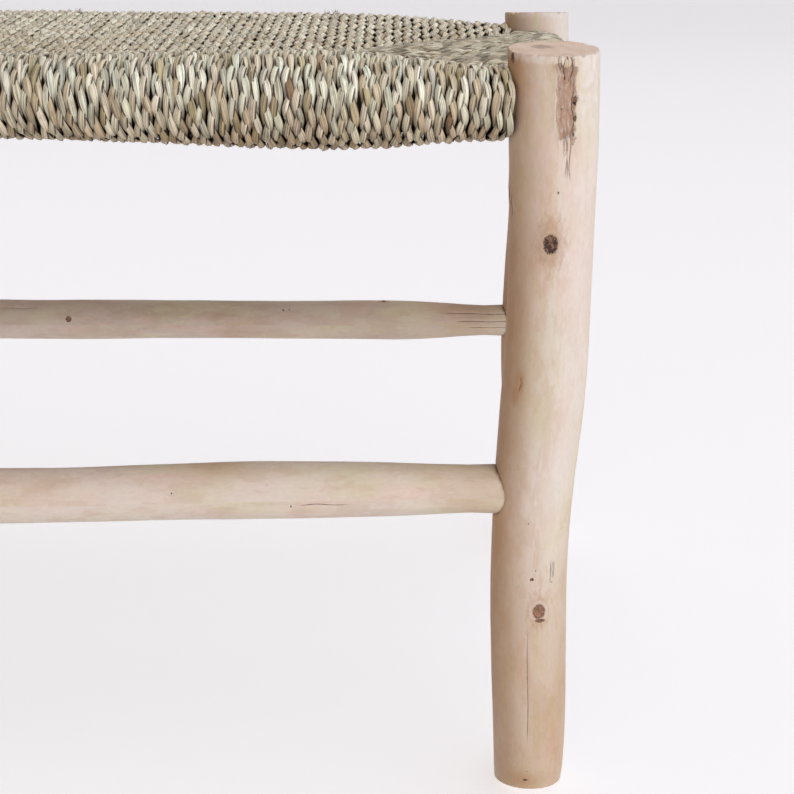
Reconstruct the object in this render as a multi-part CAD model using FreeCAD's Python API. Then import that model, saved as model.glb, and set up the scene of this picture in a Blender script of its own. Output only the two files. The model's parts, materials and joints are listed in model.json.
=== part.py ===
import FreeCAD, Part
import math
import os

# Rustic bench of peeled poles with a palm-rope seat. Millimetres, +Z up, front at -Y, right-hand end at +X.
# The origin is on the floor, under the middle of the bench.

Vector = FreeCAD.Vector
ALONG = Vector(1, 0, 0)
ACROSS = Vector(0, 1, 0)
UP = Vector(0, 0, 1)

# Legs
LEG_HEIGHT = 445.0             # floor to the sawn top, on the leg's axis
FRONT_LEG_SPACING = 900.0      # between the axes of the front legs
REAR_LEG_SPACING = 956.0       # between the axes of the rear legs, at the top
LEG_DEPTH_SPACING = 340.0      # between the axes of a front and a rear leg
REAR_LEG_SPLAY = 10.0          # a rear foot stands this much further out than its top
FRONT_LEG_TOP_DIAMETER = 45.5
FRONT_LEG_FOOT_DIAMETER = 43.2
REAR_LEG_TOP_DIAMETER = 48.0
REAR_LEG_FOOT_DIAMETER = 43.0
SAW_ALLOWANCE = 12.0           # a pole is this much too long at each end before it is sawn
FOOT_ROUNDING = 4.0            # worn edge round each toe
TOE_WEAR_ANGLE = 15.0          # the outer part of each foot is worn off the floor at this angle, in degrees
TOE_WEAR_START = 2.0           # the worn part starts this far outside the leg's axis
TOP_ROUNDING = 1.0             # worn edge round each sawn top
LEG_BOW = 2.6                  # how far a leg wanders off its straight axis
LEG_SWELL = 1.6                # how much a leg's diameter swells and thins
LEG_KNEE = 1.9                 # how much a leg's radius grows, on its outer side, where a branch stood
KNEE_LENGTH = 60.0             # over which such a knee fades, up and down

# Long seat rails
RAIL_DROP = 27.0               # leg top down to the rail's axis
RAIL_DIAMETER = 31.5
RAIL_TENON_DIAMETER = 25.0
FRONT_RAIL_SWELL = 4.0
FRONT_RAIL_BOW = 3.5
REAR_RAIL_SWELL = 1.0
REAR_RAIL_BOW = 5.5

# End seat rails
END_RAIL_DROP = 29.5           # leg top down to the rail's axis
END_RAIL_DIAMETER = 27.0
END_RAIL_TENON_DIAMETER = 19.0
END_RAIL_SWELL = 0.6
END_RAIL_BOW = 1.0
END_TENON_BITE = 6.0           # how deep an end tenon bites into the side of the long tenon

# Long stretchers
FRONT_STRETCHER_HEIGHT = 199.5  # floor to the stretcher's axis where it enters the legs
REAR_STRETCHER_HEIGHT = 198.0
STRETCHER_DIAMETER = 32.5
FRONT_STRETCHER_TENON_DIAMETER = 28.5
REAR_STRETCHER_TENON_DIAMETER = 26.0
STRETCHER_SWELL = 0.8
FRONT_STRETCHER_SAG = 3.7
FRONT_STRETCHER_RIPPLE = 1.2   # how far it rises where it swells and sinks between
REAR_STRETCHER_RISE = 1.0

# End stretchers
END_STRETCHER_HEIGHT = 257.0   # above the long stretchers, so that the tenons pass each other in the leg
END_STRETCHER_DIAMETER = 29.0
END_STRETCHER_TENON_DIAMETER = 21.0
END_STRETCHER_SWELL = 0.6
END_STRETCHER_BOW = 2.0

# Joints
TENON_REACH = 8.0              # a tenon ends this far past the leg's axis
TENON_SHOW = 2.0               # straight tenon left outside the leg before the pole thickens
TENON_CLEARANCE = 0.15         # between a tenon and its mortise, on the radius
TAPER_LENGTH = 100.0           # over which a pole thickens from its tenon to its full diameter
WAVE_LENGTH = 340.0            # between two bows or two swellings of a pole
SECTION_STEP = 42.0            # longest distance between two sections of a pole

# Rope seat
ROPE_DIAMETER = 6.0
SEAT_DISH = 24.5               # leg top down to the middle of the seat, between its two layers of rope
POCKET_TAIL = 25.0             # the two layers are pressed together over this length at the seat's middle
POCKET_END = 0.6               # height of the pocket between the layers where it ends
PANEL_OVERRUN = 3.0            # a panel is this much too deep before it is trimmed along the mitres
PANEL_START = 0.8              # a panel's first section lies inside the leg, at this share of its radius
PANEL_LEAST = 1.1              # a section's least depth, as a share of its round part's radius
PANEL_MARGIN = 20.0            # the trimming outline passes the wrapped rail by this much
WRAP_GAP = 0.3                 # between a rail and the rope wrapped round it
PANEL_GAP = 0.3                # between two panels of the weave
LEG_GAP = 0.5                  # between the weave and a leg

# Tacks that hold the two ends of the rope
TACK_LENGTH = 16.0
TACK_DIAMETER = 2.0
TACK_HEAD_DIAMETER = 5.0
TACK_HEAD_THICKNESS = 0.8
FRONT_TACK_PLACE = 390.0       # along the front rail from the left leg's axis
LEFT_TACK_PLACE = 90.0         # along the left rail from the front leg's axis

RAIL_HEIGHT = LEG_HEIGHT - RAIL_DROP
END_RAIL_HEIGHT = LEG_HEIGHT - END_RAIL_DROP
SEAT_MIDDLE_HEIGHT = LEG_HEIGHT - SEAT_DISH
END_TENON_REACH = END_TENON_BITE - RAIL_TENON_DIAMETER / 2

# Each leg: its end and row, the heights of its strongest bow, of a swelling and of its knee,
# and the slope of its sawn top, which falls towards the front for a positive angle in degrees.
LEGS = {
    "leg_front_left": dict(end=-1, row=-1, bow_at=250.0, swell_at=300.0, knee_at=190.0, top_slope=2.0),
    "leg_front_right": dict(end=1, row=-1, bow_at=340.0, swell_at=105.0, knee_at=257.0, top_slope=5.5),
    "leg_rear_left": dict(end=-1, row=1, bow_at=120.0, swell_at=220.0, knee_at=310.0, top_slope=-1.5),
    "leg_rear_right": dict(end=1, row=1, bow_at=340.0, swell_at=160.0, knee_at=130.0, top_slope=-3.0),
}

# Each pole between two legs: where it starts and ends, its sizes, where it swells, and which way it bows.
LONG_RAIL = dict(height=RAIL_HEIGHT, diameter=RAIL_DIAMETER, tenon=RAIL_TENON_DIAMETER, reach=TENON_REACH)
END_RAIL = dict(height=END_RAIL_HEIGHT, diameter=END_RAIL_DIAMETER, tenon=END_RAIL_TENON_DIAMETER,
                swell=END_RAIL_SWELL, bow=END_RAIL_BOW, reach=END_TENON_REACH)
LONG_STRETCHER = dict(diameter=STRETCHER_DIAMETER, swell=STRETCHER_SWELL, reach=TENON_REACH)
END_STRETCHER = dict(height=END_STRETCHER_HEIGHT, diameter=END_STRETCHER_DIAMETER,
                     tenon=END_STRETCHER_TENON_DIAMETER, swell=END_STRETCHER_SWELL,
                     bow=END_STRETCHER_BOW, reach=TENON_REACH)
POLES = {
    "rail_front": dict(LONG_RAIL, start="leg_front_left", end="leg_front_right", swell_at=794.0,
                       swell=FRONT_RAIL_SWELL, bow=FRONT_RAIL_BOW),
    "rail_rear": dict(LONG_RAIL, start="leg_rear_left", end="leg_rear_right", swell_at=785.0,
                      swell=REAR_RAIL_SWELL, bow=REAR_RAIL_BOW),
    "rail_left": dict(END_RAIL, start="leg_front_left", end="leg_rear_left", swell_at=150.0),
    "rail_right": dict(END_RAIL, start="leg_front_right", end="leg_rear_right", swell_at=210.0),
    "stretcher_front": dict(LONG_STRETCHER, start="leg_front_left", end="leg_front_right", swell_at=762.0,
                            height=FRONT_STRETCHER_HEIGHT, tenon=FRONT_STRETCHER_TENON_DIAMETER,
                            bow=-FRONT_STRETCHER_SAG, ripple=FRONT_STRETCHER_RIPPLE),
    "stretcher_rear": dict(LONG_STRETCHER, start="leg_rear_left", end="leg_rear_right", swell_at=540.0,
                           height=REAR_STRETCHER_HEIGHT, tenon=REAR_STRETCHER_TENON_DIAMETER,
                           bow=REAR_STRETCHER_RISE),
    "stretcher_left": dict(END_STRETCHER, start="leg_front_left", end="leg_rear_left", swell_at=120.0),
    "stretcher_right": dict(END_STRETCHER, start="leg_front_right", end="leg_rear_right", swell_at=230.0),
}
LONG_RAILS = ("rail_front", "rail_rear")
END_RAILS = ("rail_left", "rail_right")


def wave(place, crest):
    return math.cos(2 * math.pi * (place - crest) / WAVE_LENGTH)


def stations(first, last):
    count = math.ceil((last - first) / SECTION_STEP)
    return [first + (last - first) * i / count for i in range(count + 1)]


def circle_wire(centre, first, second, radius):
    """A circle of three arcs in the plane of two level or upright directions."""
    def at(turn):
        return centre + (first * math.cos(turn) + second * math.sin(turn)) * radius

    third = 2 * math.pi / 3
    arcs = [Part.Arc(at(i * third), at((i + 0.5) * third), at((i + 1) * third)).toShape() for i in range(3)]
    return Part.Wire(arcs)


# Legs

def leg_sizes(leg):
    if leg["row"] < 0:
        return FRONT_LEG_SPACING, 0.0, FRONT_LEG_TOP_DIAMETER, FRONT_LEG_FOOT_DIAMETER
    return REAR_LEG_SPACING, REAR_LEG_SPLAY, REAR_LEG_TOP_DIAMETER, REAR_LEG_FOOT_DIAMETER


def knee(leg, height):
    return LEG_KNEE * math.exp(-((height - leg["knee_at"]) / KNEE_LENGTH) ** 2)


def leg_centre(name, height):
    leg = LEGS[name]
    spacing, splay, _, _ = leg_sizes(leg)
    out = spacing / 2 + splay * (1 - height / LEG_HEIGHT)
    out += LEG_BOW * wave(height, leg["bow_at"]) + knee(leg, height)
    deep = LEG_DEPTH_SPACING / 2 + LEG_BOW / 2 * wave(height, leg["swell_at"])
    return Vector(leg["end"] * out, leg["row"] * deep, height)


def leg_radius(name, height):
    leg = LEGS[name]
    _, _, top, foot = leg_sizes(leg)
    straight = foot + (top - foot) * height / LEG_HEIGHT
    return (straight + LEG_SWELL * wave(height, leg["swell_at"])) / 2 + knee(leg, height)


def leg_blank(name, extra=0.0):
    """A leg before its joints, grown all round by extra, and longer than the finished leg."""
    heights = stations(-SAW_ALLOWANCE, LEG_HEIGHT + SAW_ALLOWANCE)
    wires = [circle_wire(leg_centre(name, z), ALONG, ACROSS, leg_radius(name, z) + extra) for z in heights]
    return Part.makeLoft(wires, True, False)


def rim(solid, point, normal):
    """The edges round a sawn face."""
    def on_face(edge):
        return all(abs((corner.Point - point).dot(normal)) < 0.001 for corner in edge.Vertexes)

    return [edge for edge in solid.Edges if on_face(edge)]


def tilted_up(angle):
    return FreeCAD.Rotation(ALONG, angle).multVec(UP)


def waste_block(point, half, side, angle):
    """Block that takes away all above a slanting cut through a point, or all below it for a side of -1."""
    block = Part.makeBox(2 * half, 2 * half, half, point - Vector(half, half, half if side < 0 else 0))
    block.rotate(point, ALONG, angle)
    return block


def sawn_off(blank, name):
    """Cuts the sloping top and the worn toe, wears the edges of both, and then cuts the flat sole."""
    leg = LEGS[name]
    top, foot = leg_centre(name, LEG_HEIGHT), leg_centre(name, 0)
    crease = foot + ACROSS * TOE_WEAR_START * leg["row"]
    half = 4 * leg_radius(name, LEG_HEIGHT)
    top_slope, toe_slope = leg["top_slope"], TOE_WEAR_ANGLE * leg["row"]
    solid = blank.cut([waste_block(top, half, 1, top_slope), waste_block(crease, half, -1, toe_slope)])
    solid = solid.makeFillet(TOP_ROUNDING, rim(solid, top, tilted_up(top_slope)))
    solid = solid.makeFillet(FOOT_ROUNDING, rim(solid, crease, tilted_up(toe_slope)))
    return solid.cut(waste_block(foot, half, -1, 0))


# Rails and stretchers

def pole_ends(pole):
    return leg_centre(pole["start"], pole["height"]), leg_centre(pole["end"], pole["height"])


def pole_axis(pole):
    """Start point, direction and length of the straight line between the two leg axes."""
    start, end = pole_ends(pole)
    line = end - start
    return start, Vector(line).normalize(), line.Length


def shoulder(pole, which):
    """Distance from the leg's axis to the end of the straight tenon."""
    return leg_radius(pole[which], pole["height"]) + TENON_SHOW


def fullness(pole, along):
    """0 on the tenons, rising smoothly to 1 where the pole has its full diameter."""
    length = pole_axis(pole)[2]
    inside = min(along - shoulder(pole, "start"), length - shoulder(pole, "end") - along)
    share = min(max(inside / TAPER_LENGTH, 0.0), 1.0)
    return math.sin(math.pi / 2 * share) ** 2


def pole_centre(pole, along):
    start, direction, length = pole_axis(pole)
    lift = pole["bow"] * math.sin(math.pi * along / length)
    lift += pole.get("ripple", 0.0) * wave(along, pole["swell_at"])
    return start + direction * along + UP * lift * fullness(pole, along)


def pole_radius(pole, along):
    full = pole["diameter"] + pole["swell"] * wave(along, pole["swell_at"])
    return (pole["tenon"] + (full - pole["tenon"]) * fullness(pole, along)) / 2


def tenon_rod(pole, which, extra=0.0):
    """The round tenon at one end, or with extra the hole for it."""
    start, direction, length = pole_axis(pole)
    if which == "end":
        start, direction = start + direction * length, direction * -1
    tip = start - direction * pole["reach"]
    return Part.makeCylinder(pole["tenon"] / 2 + extra, pole["reach"] + shoulder(pole, which), tip, direction)


def pole_solid(pole):
    _, direction, length = pole_axis(pole)
    places = stations(shoulder(pole, "start"), length - shoulder(pole, "end"))
    sideways = UP.cross(direction)
    wires = [circle_wire(pole_centre(pole, s), sideways, UP, pole_radius(pole, s)) for s in places]
    body = Part.makeLoft(wires, True, False)
    return body.fuse([tenon_rod(pole, "start"), tenon_rod(pole, "end")]).removeSplitter()


def holes_in(leg_name):
    """The holes for every tenon that enters one leg."""
    return [tenon_rod(pole, which, TENON_CLEARANCE)
            for pole in POLES.values() for which in ("start", "end") if pole[which] == leg_name]


# Rope seat

def drop_wire(pole, along, gap, reach, half):
    """Section of a panel: round the rail, then narrowing to a blunt end at the seat's middle."""
    centre = pole_centre(pole, along)
    inward = inward_of(pole)
    radius = pole_radius(pole, along) + gap
    rise = SEAT_MIDDLE_HEIGHT - centre.z

    def at(across, up):
        return centre + inward * across + UP * up

    def on_round(angle):
        return at(radius * math.cos(angle), radius * math.sin(angle))

    high = math.atan2(rise + half, reach) + math.acos(radius / math.hypot(reach, rise + half))
    low = math.atan2(rise - half, reach) - math.acos(radius / math.hypot(reach, rise - half))
    top_end, low_end = at(reach, rise + half), at(reach, rise - half)
    edges = [
        Part.makeLine(top_end, on_round(high)),
        Part.Arc(on_round(high), on_round((high + math.pi) / 2), on_round(math.pi)).toShape(),
        Part.Arc(on_round(math.pi), on_round((low - math.pi) / 2), on_round(low)).toShape(),
        Part.makeLine(on_round(low), low_end),
        Part.makeLine(low_end, top_end),
    ]
    return Part.Wire(edges)


def inward_of(pole):
    """Level direction from a rail towards the seat's middle."""
    start, direction, length = pole_axis(pole)
    across = direction.cross(UP)
    towards_middle = across.dot(start + direction * (length / 2)) < 0
    return across if towards_middle else across * -1


def seat_apex(pole):
    """Point on the centre line where the two mitres at one end of the seat meet."""
    start, end = pole_ends(pole)
    middle = (start + end) / 2
    return Vector(middle.x - math.copysign(LEG_DEPTH_SPACING / 2, middle.x), 0, 0)


def panel_apexes(name):
    return [seat_apex(POLES[rail]) for rail in END_RAILS if name in LONG_RAILS or name == rail]


def panel_knots(name):
    """Where a panel's depth changes: distance along the rail and depth from the rail's axis."""
    pole = POLES[name]
    start, direction, length = pole_axis(pole)
    arms = [apex - start for apex in panel_apexes(name)]
    bends = [(arm.dot(direction), arm.dot(inward_of(pole))) for arm in arms]
    return [(0.0, 0.0)] + bends + [(length, 0.0)]


def panel_loft(name, gap, half, longer):
    """Panel sections joined along the rail, each longer than the panel's depth there by the given amount."""
    pole = POLES[name]
    knots = panel_knots(name)
    first_place = PANEL_START * leg_radius(pole["start"], pole["height"])
    last_place = knots[-1][0] - PANEL_START * leg_radius(pole["end"], pole["height"])
    spans = []
    for (near, near_depth), (far, far_depth) in zip(knots, knots[1:]):
        wires = []
        for place in stations(max(near, first_place), min(far, last_place)):
            depth = near_depth + (far_depth - near_depth) * (place - near) / (far - near)
            least = PANEL_LEAST * (pole_radius(pole, place) + gap)
            wires.append(drop_wire(pole, place, gap, max(depth + longer, least), half))
        spans.append(Part.makeLoft(wires, True, False))
    return spans[0].fuse(spans[1:])


def panel_plan(name):
    """Upright prism over the part of the seat that one rail carries."""
    pole = POLES[name]
    start, end = pole_ends(pole)
    beyond = inward_of(pole) * -(pole["diameter"] + ROPE_DIAMETER + PANEL_MARGIN)
    outline = [start + beyond, start] + panel_apexes(name) + [end, end + beyond]
    flat = [Vector(point.x, point.y, 0) for point in outline]
    wire = Part.makePolygon(flat + [flat[0]]).makeOffset2D(-PANEL_GAP / 2)
    return Part.Face(wire).extrude(UP * 2 * LEG_HEIGHT)


def weave_panel(name):
    """A panel of rope: a hollow wrap round one rail, mitred against its neighbours and clear of the legs."""
    pole = POLES[name]
    outer = panel_loft(name, WRAP_GAP + ROPE_DIAMETER, ROPE_DIAMETER, PANEL_OVERRUN)
    pocket = panel_loft(name, WRAP_GAP, POCKET_END / 2, -POCKET_TAIL)
    panel = outer.cut(pocket).common(panel_plan(name))
    return panel.cut([leg_blank(pole["start"], LEG_GAP), leg_blank(pole["end"], LEG_GAP)])


# Tacks

def tack(pole, along, extra=0.0):
    """A tack driven level into the inner side of a rail, or with extra the hole for it."""
    inward = inward_of(pole)
    head_seat = pole_centre(pole, along) + inward * pole_radius(pole, along)
    shank = Part.makeCylinder(TACK_DIAMETER / 2 + extra, TACK_LENGTH, head_seat, inward * -1)
    if extra:
        return shank
    head = Part.makeCylinder(TACK_HEAD_DIAMETER / 2, TACK_HEAD_THICKNESS, head_seat, inward)
    return shank.fuse(head).removeSplitter()


TACKS = (("rail_front", FRONT_TACK_PLACE), ("rail_left", LEFT_TACK_PLACE))


def build():
    """Every node of the bench by name."""
    nodes = {}
    for name in LEGS:
        nodes[name] = sawn_off(leg_blank(name), name).cut(holes_in(name))
    for name, pole in POLES.items():
        nodes[name] = pole_solid(pole)
    bites = [tenon_rod(POLES[name], which, TENON_CLEARANCE)
             for name in END_RAILS for which in ("start", "end")]
    for name in LONG_RAILS:
        nodes[name] = nodes[name].cut(bites)
    for name, place in TACKS:
        nodes[name] = nodes[name].cut(tack(POLES[name], place, TENON_CLEARANCE))
    for name in LONG_RAILS + END_RAILS:
        nodes[name.replace("rail", "seat_weave")] = weave_panel(name)
    nodes["rope_tacks"] = Part.makeCompound([tack(POLES[name], place) for name, place in TACKS])
    return nodes


def centred(nodes):
    """Moves every node alike along the floor, so that the origin is under the middle of the bench."""
    box = Part.makeCompound(list(nodes.values())).optimalBoundingBox(False, False)
    shift = Vector(-box.Center.x, -box.Center.y, 0)
    for shape in nodes.values():
        shape.translate(shift)
    return nodes


os.makedirs("parts", exist_ok=True)
for node_name, shape in centred(build()).items():
    shape.exportStep(f"parts/{node_name}.step")
    print(node_name, shape.isValid(), len(shape.Solids), round(shape.Volume / 1000, 1))
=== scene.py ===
import json
import math
import random

import bpy
import numpy as np
from bpy.props import FloatProperty, FloatVectorProperty, IntProperty, PointerProperty
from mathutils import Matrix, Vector, noise
from mathutils.bvhtree import BVHTree

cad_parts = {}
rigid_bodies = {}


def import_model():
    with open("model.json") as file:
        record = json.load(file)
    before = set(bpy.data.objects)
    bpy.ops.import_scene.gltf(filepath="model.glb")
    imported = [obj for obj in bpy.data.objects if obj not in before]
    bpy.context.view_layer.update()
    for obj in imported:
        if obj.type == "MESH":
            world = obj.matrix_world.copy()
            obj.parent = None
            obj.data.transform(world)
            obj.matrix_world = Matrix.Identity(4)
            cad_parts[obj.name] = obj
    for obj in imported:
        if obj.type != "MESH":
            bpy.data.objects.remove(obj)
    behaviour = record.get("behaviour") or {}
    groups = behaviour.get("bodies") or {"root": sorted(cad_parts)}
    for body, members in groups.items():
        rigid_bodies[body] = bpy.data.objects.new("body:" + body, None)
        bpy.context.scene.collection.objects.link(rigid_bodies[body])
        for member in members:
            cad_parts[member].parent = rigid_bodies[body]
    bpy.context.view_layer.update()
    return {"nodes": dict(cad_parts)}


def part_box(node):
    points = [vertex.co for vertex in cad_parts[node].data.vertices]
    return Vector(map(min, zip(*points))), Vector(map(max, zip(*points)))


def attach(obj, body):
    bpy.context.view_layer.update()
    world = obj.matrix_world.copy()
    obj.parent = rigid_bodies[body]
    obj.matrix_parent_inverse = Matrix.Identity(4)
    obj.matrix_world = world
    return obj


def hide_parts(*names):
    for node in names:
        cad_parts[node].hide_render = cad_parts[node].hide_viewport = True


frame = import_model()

bl_info = {
    "name": "Rope Seat Bench",
    "version": (1, 0, 0),
    "blender": (4, 5, 0),
    "location": "View3D > Sidebar > Bench",
    "description": "Dresses the packed bench with peeled poles and a plaited palm-leaf seat",
    "category": "Object",
}

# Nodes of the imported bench
LEGS = ("leg_front_left", "leg_front_right", "leg_rear_left", "leg_rear_right")
LONG_STRETCHERS = ("stretcher_front", "stretcher_rear")
END_STRETCHERS = ("stretcher_left", "stretcher_right")
RAILS = ("rail_front", "rail_rear", "rail_left", "rail_right")
X, Y, Z = 0, 1, 2
MM = 0.001

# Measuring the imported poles
RAYS = 36                  # rays cast inwards at each place along a pole
RAY_START = 0.2            # they start this far from the pole's middle
HOLE_DEPTH = 0.3 * MM      # a hit deeper than this is in a joint's hole and is left out
POLE_STATIONS = 60         # places at which a leg or a stretcher is measured
RAIL_STATIONS = 48         # places at which a rail is measured
RAIL_END = 45 * MM         # a rail is measured this far in from its ends, clear of its tenons

# Ends of the legs and stretchers
FOOT_ROUND = 1.2 * MM      # worn edge of a foot
TOP_ROUND = 1.0 * MM       # worn edge of a sawn top
TOE_ZONE = 28 * MM         # a leg's skin is lifted by its worn toe up to this height
TOP_ZONE = 40 * MM         # a leg's skin follows the slope of its sawn top from this far below it
BAR_HIDDEN = 15 * MM       # a stretcher's skin ends this far short of its tenons' ends, inside the legs


# Settings

def colour(name, description, default):
    return FloatVectorProperty(name=name, description=description, default=default, size=3, subtype="COLOR",
                               min=0.0, max=1.0)


def length(name, description, default):
    return setting(name, description, default, unit="LENGTH", precision=5)


def share(name, description, default):
    return setting(name, description, default, subtype="FACTOR", min=0.0, max=1.0)


def setting(name, description, default, **limits):
    return FloatProperty(name=name, description=description, default=default, **limits)


def whole(name, description, default):
    return IntProperty(name=name, description=description, default=default)


class BenchWoodSettings(bpy.types.PropertyGroup):
    pale: colour("Peeled wood", "Clean wood under the bark", (0.65, 0.525, 0.425))
    # Also the colour of the painted light on the legs' lit right sides and sawn-top rims.
    bleached: colour("Bleached wood", "Wood that the sun has bleached", (0.665, 0.605, 0.555))
    # Also the colour of the painted shade on the legs' left sides.
    tan: colour("Inner bark", "Tan patches of inner bark left by peeling", (0.45, 0.28, 0.16))
    # Partly painted shade: the rear stretcher's wood is greyer from weathering and darker for the shade under
    # the seat.
    grey: colour("Weathered wood", "Wood of the rear stretcher", (0.53, 0.435, 0.37))
    bark: colour("Bark", "Rough inner bark left on a pole", (0.41, 0.265, 0.19))
    blush: colour("Blush", "Pinkish patches of the peeled wood", (0.66, 0.485, 0.425))
    sage: colour("Sage", "Greenish cream patches of the peeled wood", (0.60, 0.54, 0.385))
    knot: colour("Knot", "Heart of a knot", (0.05, 0.03, 0.025))
    red: colour("Red knot", "Reddish wood of a healed knot", (0.30, 0.13, 0.09))
    sawn: colour("Sawn wood", "Sawn faces of the legs", (0.76, 0.625, 0.52))
    # Painted shade: the rails get dark wood so that the gaps between the strands look shaded.
    rail_shade: colour("Rail wood", "Unpeeled rails under the rope", (0.13, 0.09, 0.055))
    leg_rows: length("Leg row height", "Distance between two rows of points on a leg", 1.0 * MM)
    leg_segments: whole("Leg points round", "Points round a leg", 168)
    bar_rows: length("Stretcher row length", "Distance between two rows of points on a stretcher", 1.6 * MM)
    bar_segments: whole("Stretcher points round", "Points round a stretcher", 100)
    lumps: length("Lumps", "Height of the broad lumps of a pole", 0.5 * MM)
    peel_marks: length("Peel marks", "Depth of the long facets that peeling leaves", 0.2 * MM)


class BenchRopeSettings(bpy.types.PropertyGroup):
    diameter: length("Rope thickness", "Thickness of the plaited rope", 6.9 * MM)
    plies: whole("Strips", "Strips of leaf plaited into the rope", 3)
    pitch: length("Strand pitch", "Distance between strands on the front and end rails", 5.4 * MM)
    rear_pitch: length("Rear strand pitch", "Distance between strands on the rear rail", 6.8 * MM)
    plait: length("Plait length", "Length of rope in which a strip swings to both sides once", 44.0 * MM)
    leaf_swing: share("Leaf swing", "How far a strip swings sideways, as a share of the strand pitch", 0.29)
    leaf_width: share("Leaf width", "Half width of a strip, as a share of the strand pitch", 0.41)
    leaf_thickness: length("Leaf thickness", "Half thickness of a folded strip", 1.0 * MM)
    leaf_rise: length("Leaf rise", "How far a strip rises and dips as it crosses the others", 1.0 * MM)
    leaf_tilt: setting("Leaf tilt", "How far a strip leans towards the rope's side", 0.5, subtype="ANGLE")
    leaf_taper: share("Leaf taper", "How much a strip narrows as it dips under the others", 0.58)
    loose_share: share("Loose leaves", "Share of the strands that have a loose leaf tip", 0.8)
    loose_lift: length("Loose leaf lift", "How far a loose leaf tip stands off its strand", 2.2 * MM)
    wander: length("Wander", "How far a strand strays sideways", 0.4 * MM)
    unevenness: length("Unevenness", "How far a strand rises and falls", 0.5 * MM)
    end_unevenness: length("End unevenness", "How far the strands of the end panels rise and fall", 1.4 * MM)
    bulge: length("Bulge", "How far the strands stand off the rails beyond a tight wrap", 1.0 * MM)
    row: length("Ring distance", "Distance between two rings of points on a strand", 1.9 * MM)
    row_below: length("Ring distance below", "Distance between two rings under the seat", 3.6 * MM)
    strands_in_piece: whole("Strands in a piece", "Strands joined in one object", 25)
    mint: colour("Mint leaf", "Palm leaf that kept some green", (0.86, 0.91, 0.755))
    cream: colour("Cream leaf", "Bleached palm leaf", (1.0, 0.97, 0.83))
    beige: colour("Beige leaf", "Dry palm leaf", (0.71, 0.62, 0.445))
    khaki: colour("Khaki leaf", "Dull palm leaf", (0.56, 0.50, 0.29))
    brown: colour("Brown leaf", "Old or stained palm leaf", (0.32, 0.215, 0.125))
    # Painted light: the pale straw colour that the seat's upward-facing leaf is mixed towards.
    lit_straw: colour("Straw", "Palm leaf that the sun has bleached on the seat's upper side", (0.95, 0.89, 0.69))
    # Partly painted shade: the leaf low on the seat is multiplied by this, for browner leaf and for the shade
    # there.
    browning: colour("Browning", "Colour that the leaf is multiplied by low on the seat", (0.57, 0.445, 0.335))


class BenchStageSettings(bpy.types.PropertyGroup):
    camera_place: FloatVectorProperty(name="Camera place", description="Where the camera stands", size=3,
                                      default=(0.3692, -0.813, 0.495), subtype="TRANSLATION")
    camera_tilt: setting("Camera tilt", "Camera's angle from straight down", math.radians(69.6),
                         subtype="ANGLE")
    lens: setting("Lens", "Focal length on a 36 mm frame", 55.36)
    floor: colour("Floor", "Pale studio floor", (0.86, 0.88, 0.92))
    bright_side: colour("Bright side", "Light from the right-hand side of the room", (0.88, 0.88, 0.93))
    dim_side: colour("Dim side", "Light from the left-hand side of the room", (0.44, 0.30, 0.20))
    room: setting("Room light", "Strength of the light from all round", 0.8)
    glow: setting("Floor glow", "Light that the floor gives off, which keeps its shadows faint", 0.57)
    key: setting("Key light", "Strength of the large lamp on the right", 47.0, subtype="POWER")


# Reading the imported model

def surface_of(node):
    mesh = frame["nodes"][node].data
    return BVHTree.FromPolygons([v.co for v in mesh.vertices], [p.vertices for p in mesh.polygons])


def fit_circle(points):
    """Centre and radius of the circle through the outermost of some points in a plane."""
    keep = points
    for _ in range(6):
        system = np.column_stack([2 * keep, np.ones(len(keep))])
        a, b, c = np.linalg.lstsq(system, (keep ** 2).sum(1), rcond=None)[0]
        radius = math.sqrt(c + a * a + b * b)
        gap = np.hypot(points[:, 0] - a, points[:, 1] - b) - radius
        keep = points[gap > min(-HOLE_DEPTH, np.median(gap) - HOLE_DEPTH)]
    return a, b, radius


def measure_pole(node, axis, places):
    """Centres and radii of a packed pole at places along one axis."""
    tree = surface_of(node)
    low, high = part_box(node)
    first, second = [i for i in range(3) if i != axis]
    centres, radii = np.zeros((len(places), 3)), np.zeros(len(places))
    for row, place in enumerate(places):
        middle = (low + high) / 2
        middle[axis] = place
        hits = []
        for ray in range(RAYS):
            outward = Vector((0, 0, 0))
            outward[first] = math.cos(2 * math.pi * ray / RAYS)
            outward[second] = math.sin(2 * math.pi * ray / RAYS)
            hit = tree.ray_cast(middle + outward * RAY_START, -outward)[0]
            if hit is not None:
                hits.append((hit[first], hit[second]))
        centres[row, axis] = place
        centres[row, first], centres[row, second], radii[row] = fit_circle(np.array(hits))
    return centres, radii


def top_face(node):
    """Slopes of a leg's sawn top along X and Y, and its height over the origin."""
    faces = frame["nodes"][node].data.polygons
    near_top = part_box(node)[1].z - 0.01
    points = np.array([p.center for p in faces if p.normal.z > 0.98 and p.center.z > near_top])
    system = np.column_stack([points[:, :2], np.ones(len(points))])
    return np.linalg.lstsq(system, points[:, 2], rcond=None)[0]


def toe_plane(node):
    """Slopes and base of the slanting face under a leg's worn toe, from its largest triangle."""
    faces = frame["nodes"][node].data.polygons
    slanting = [p for p in faces if -0.99 < p.normal.z < -0.93 and p.center.z < TOE_ZONE]
    face = max(slanting, key=lambda p: p.area)
    slope_x, slope_y = -face.normal.x / face.normal.z, -face.normal.y / face.normal.z
    return slope_x, slope_y, face.center.z - slope_x * face.center.x - slope_y * face.center.y


# Shader nodes

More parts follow.
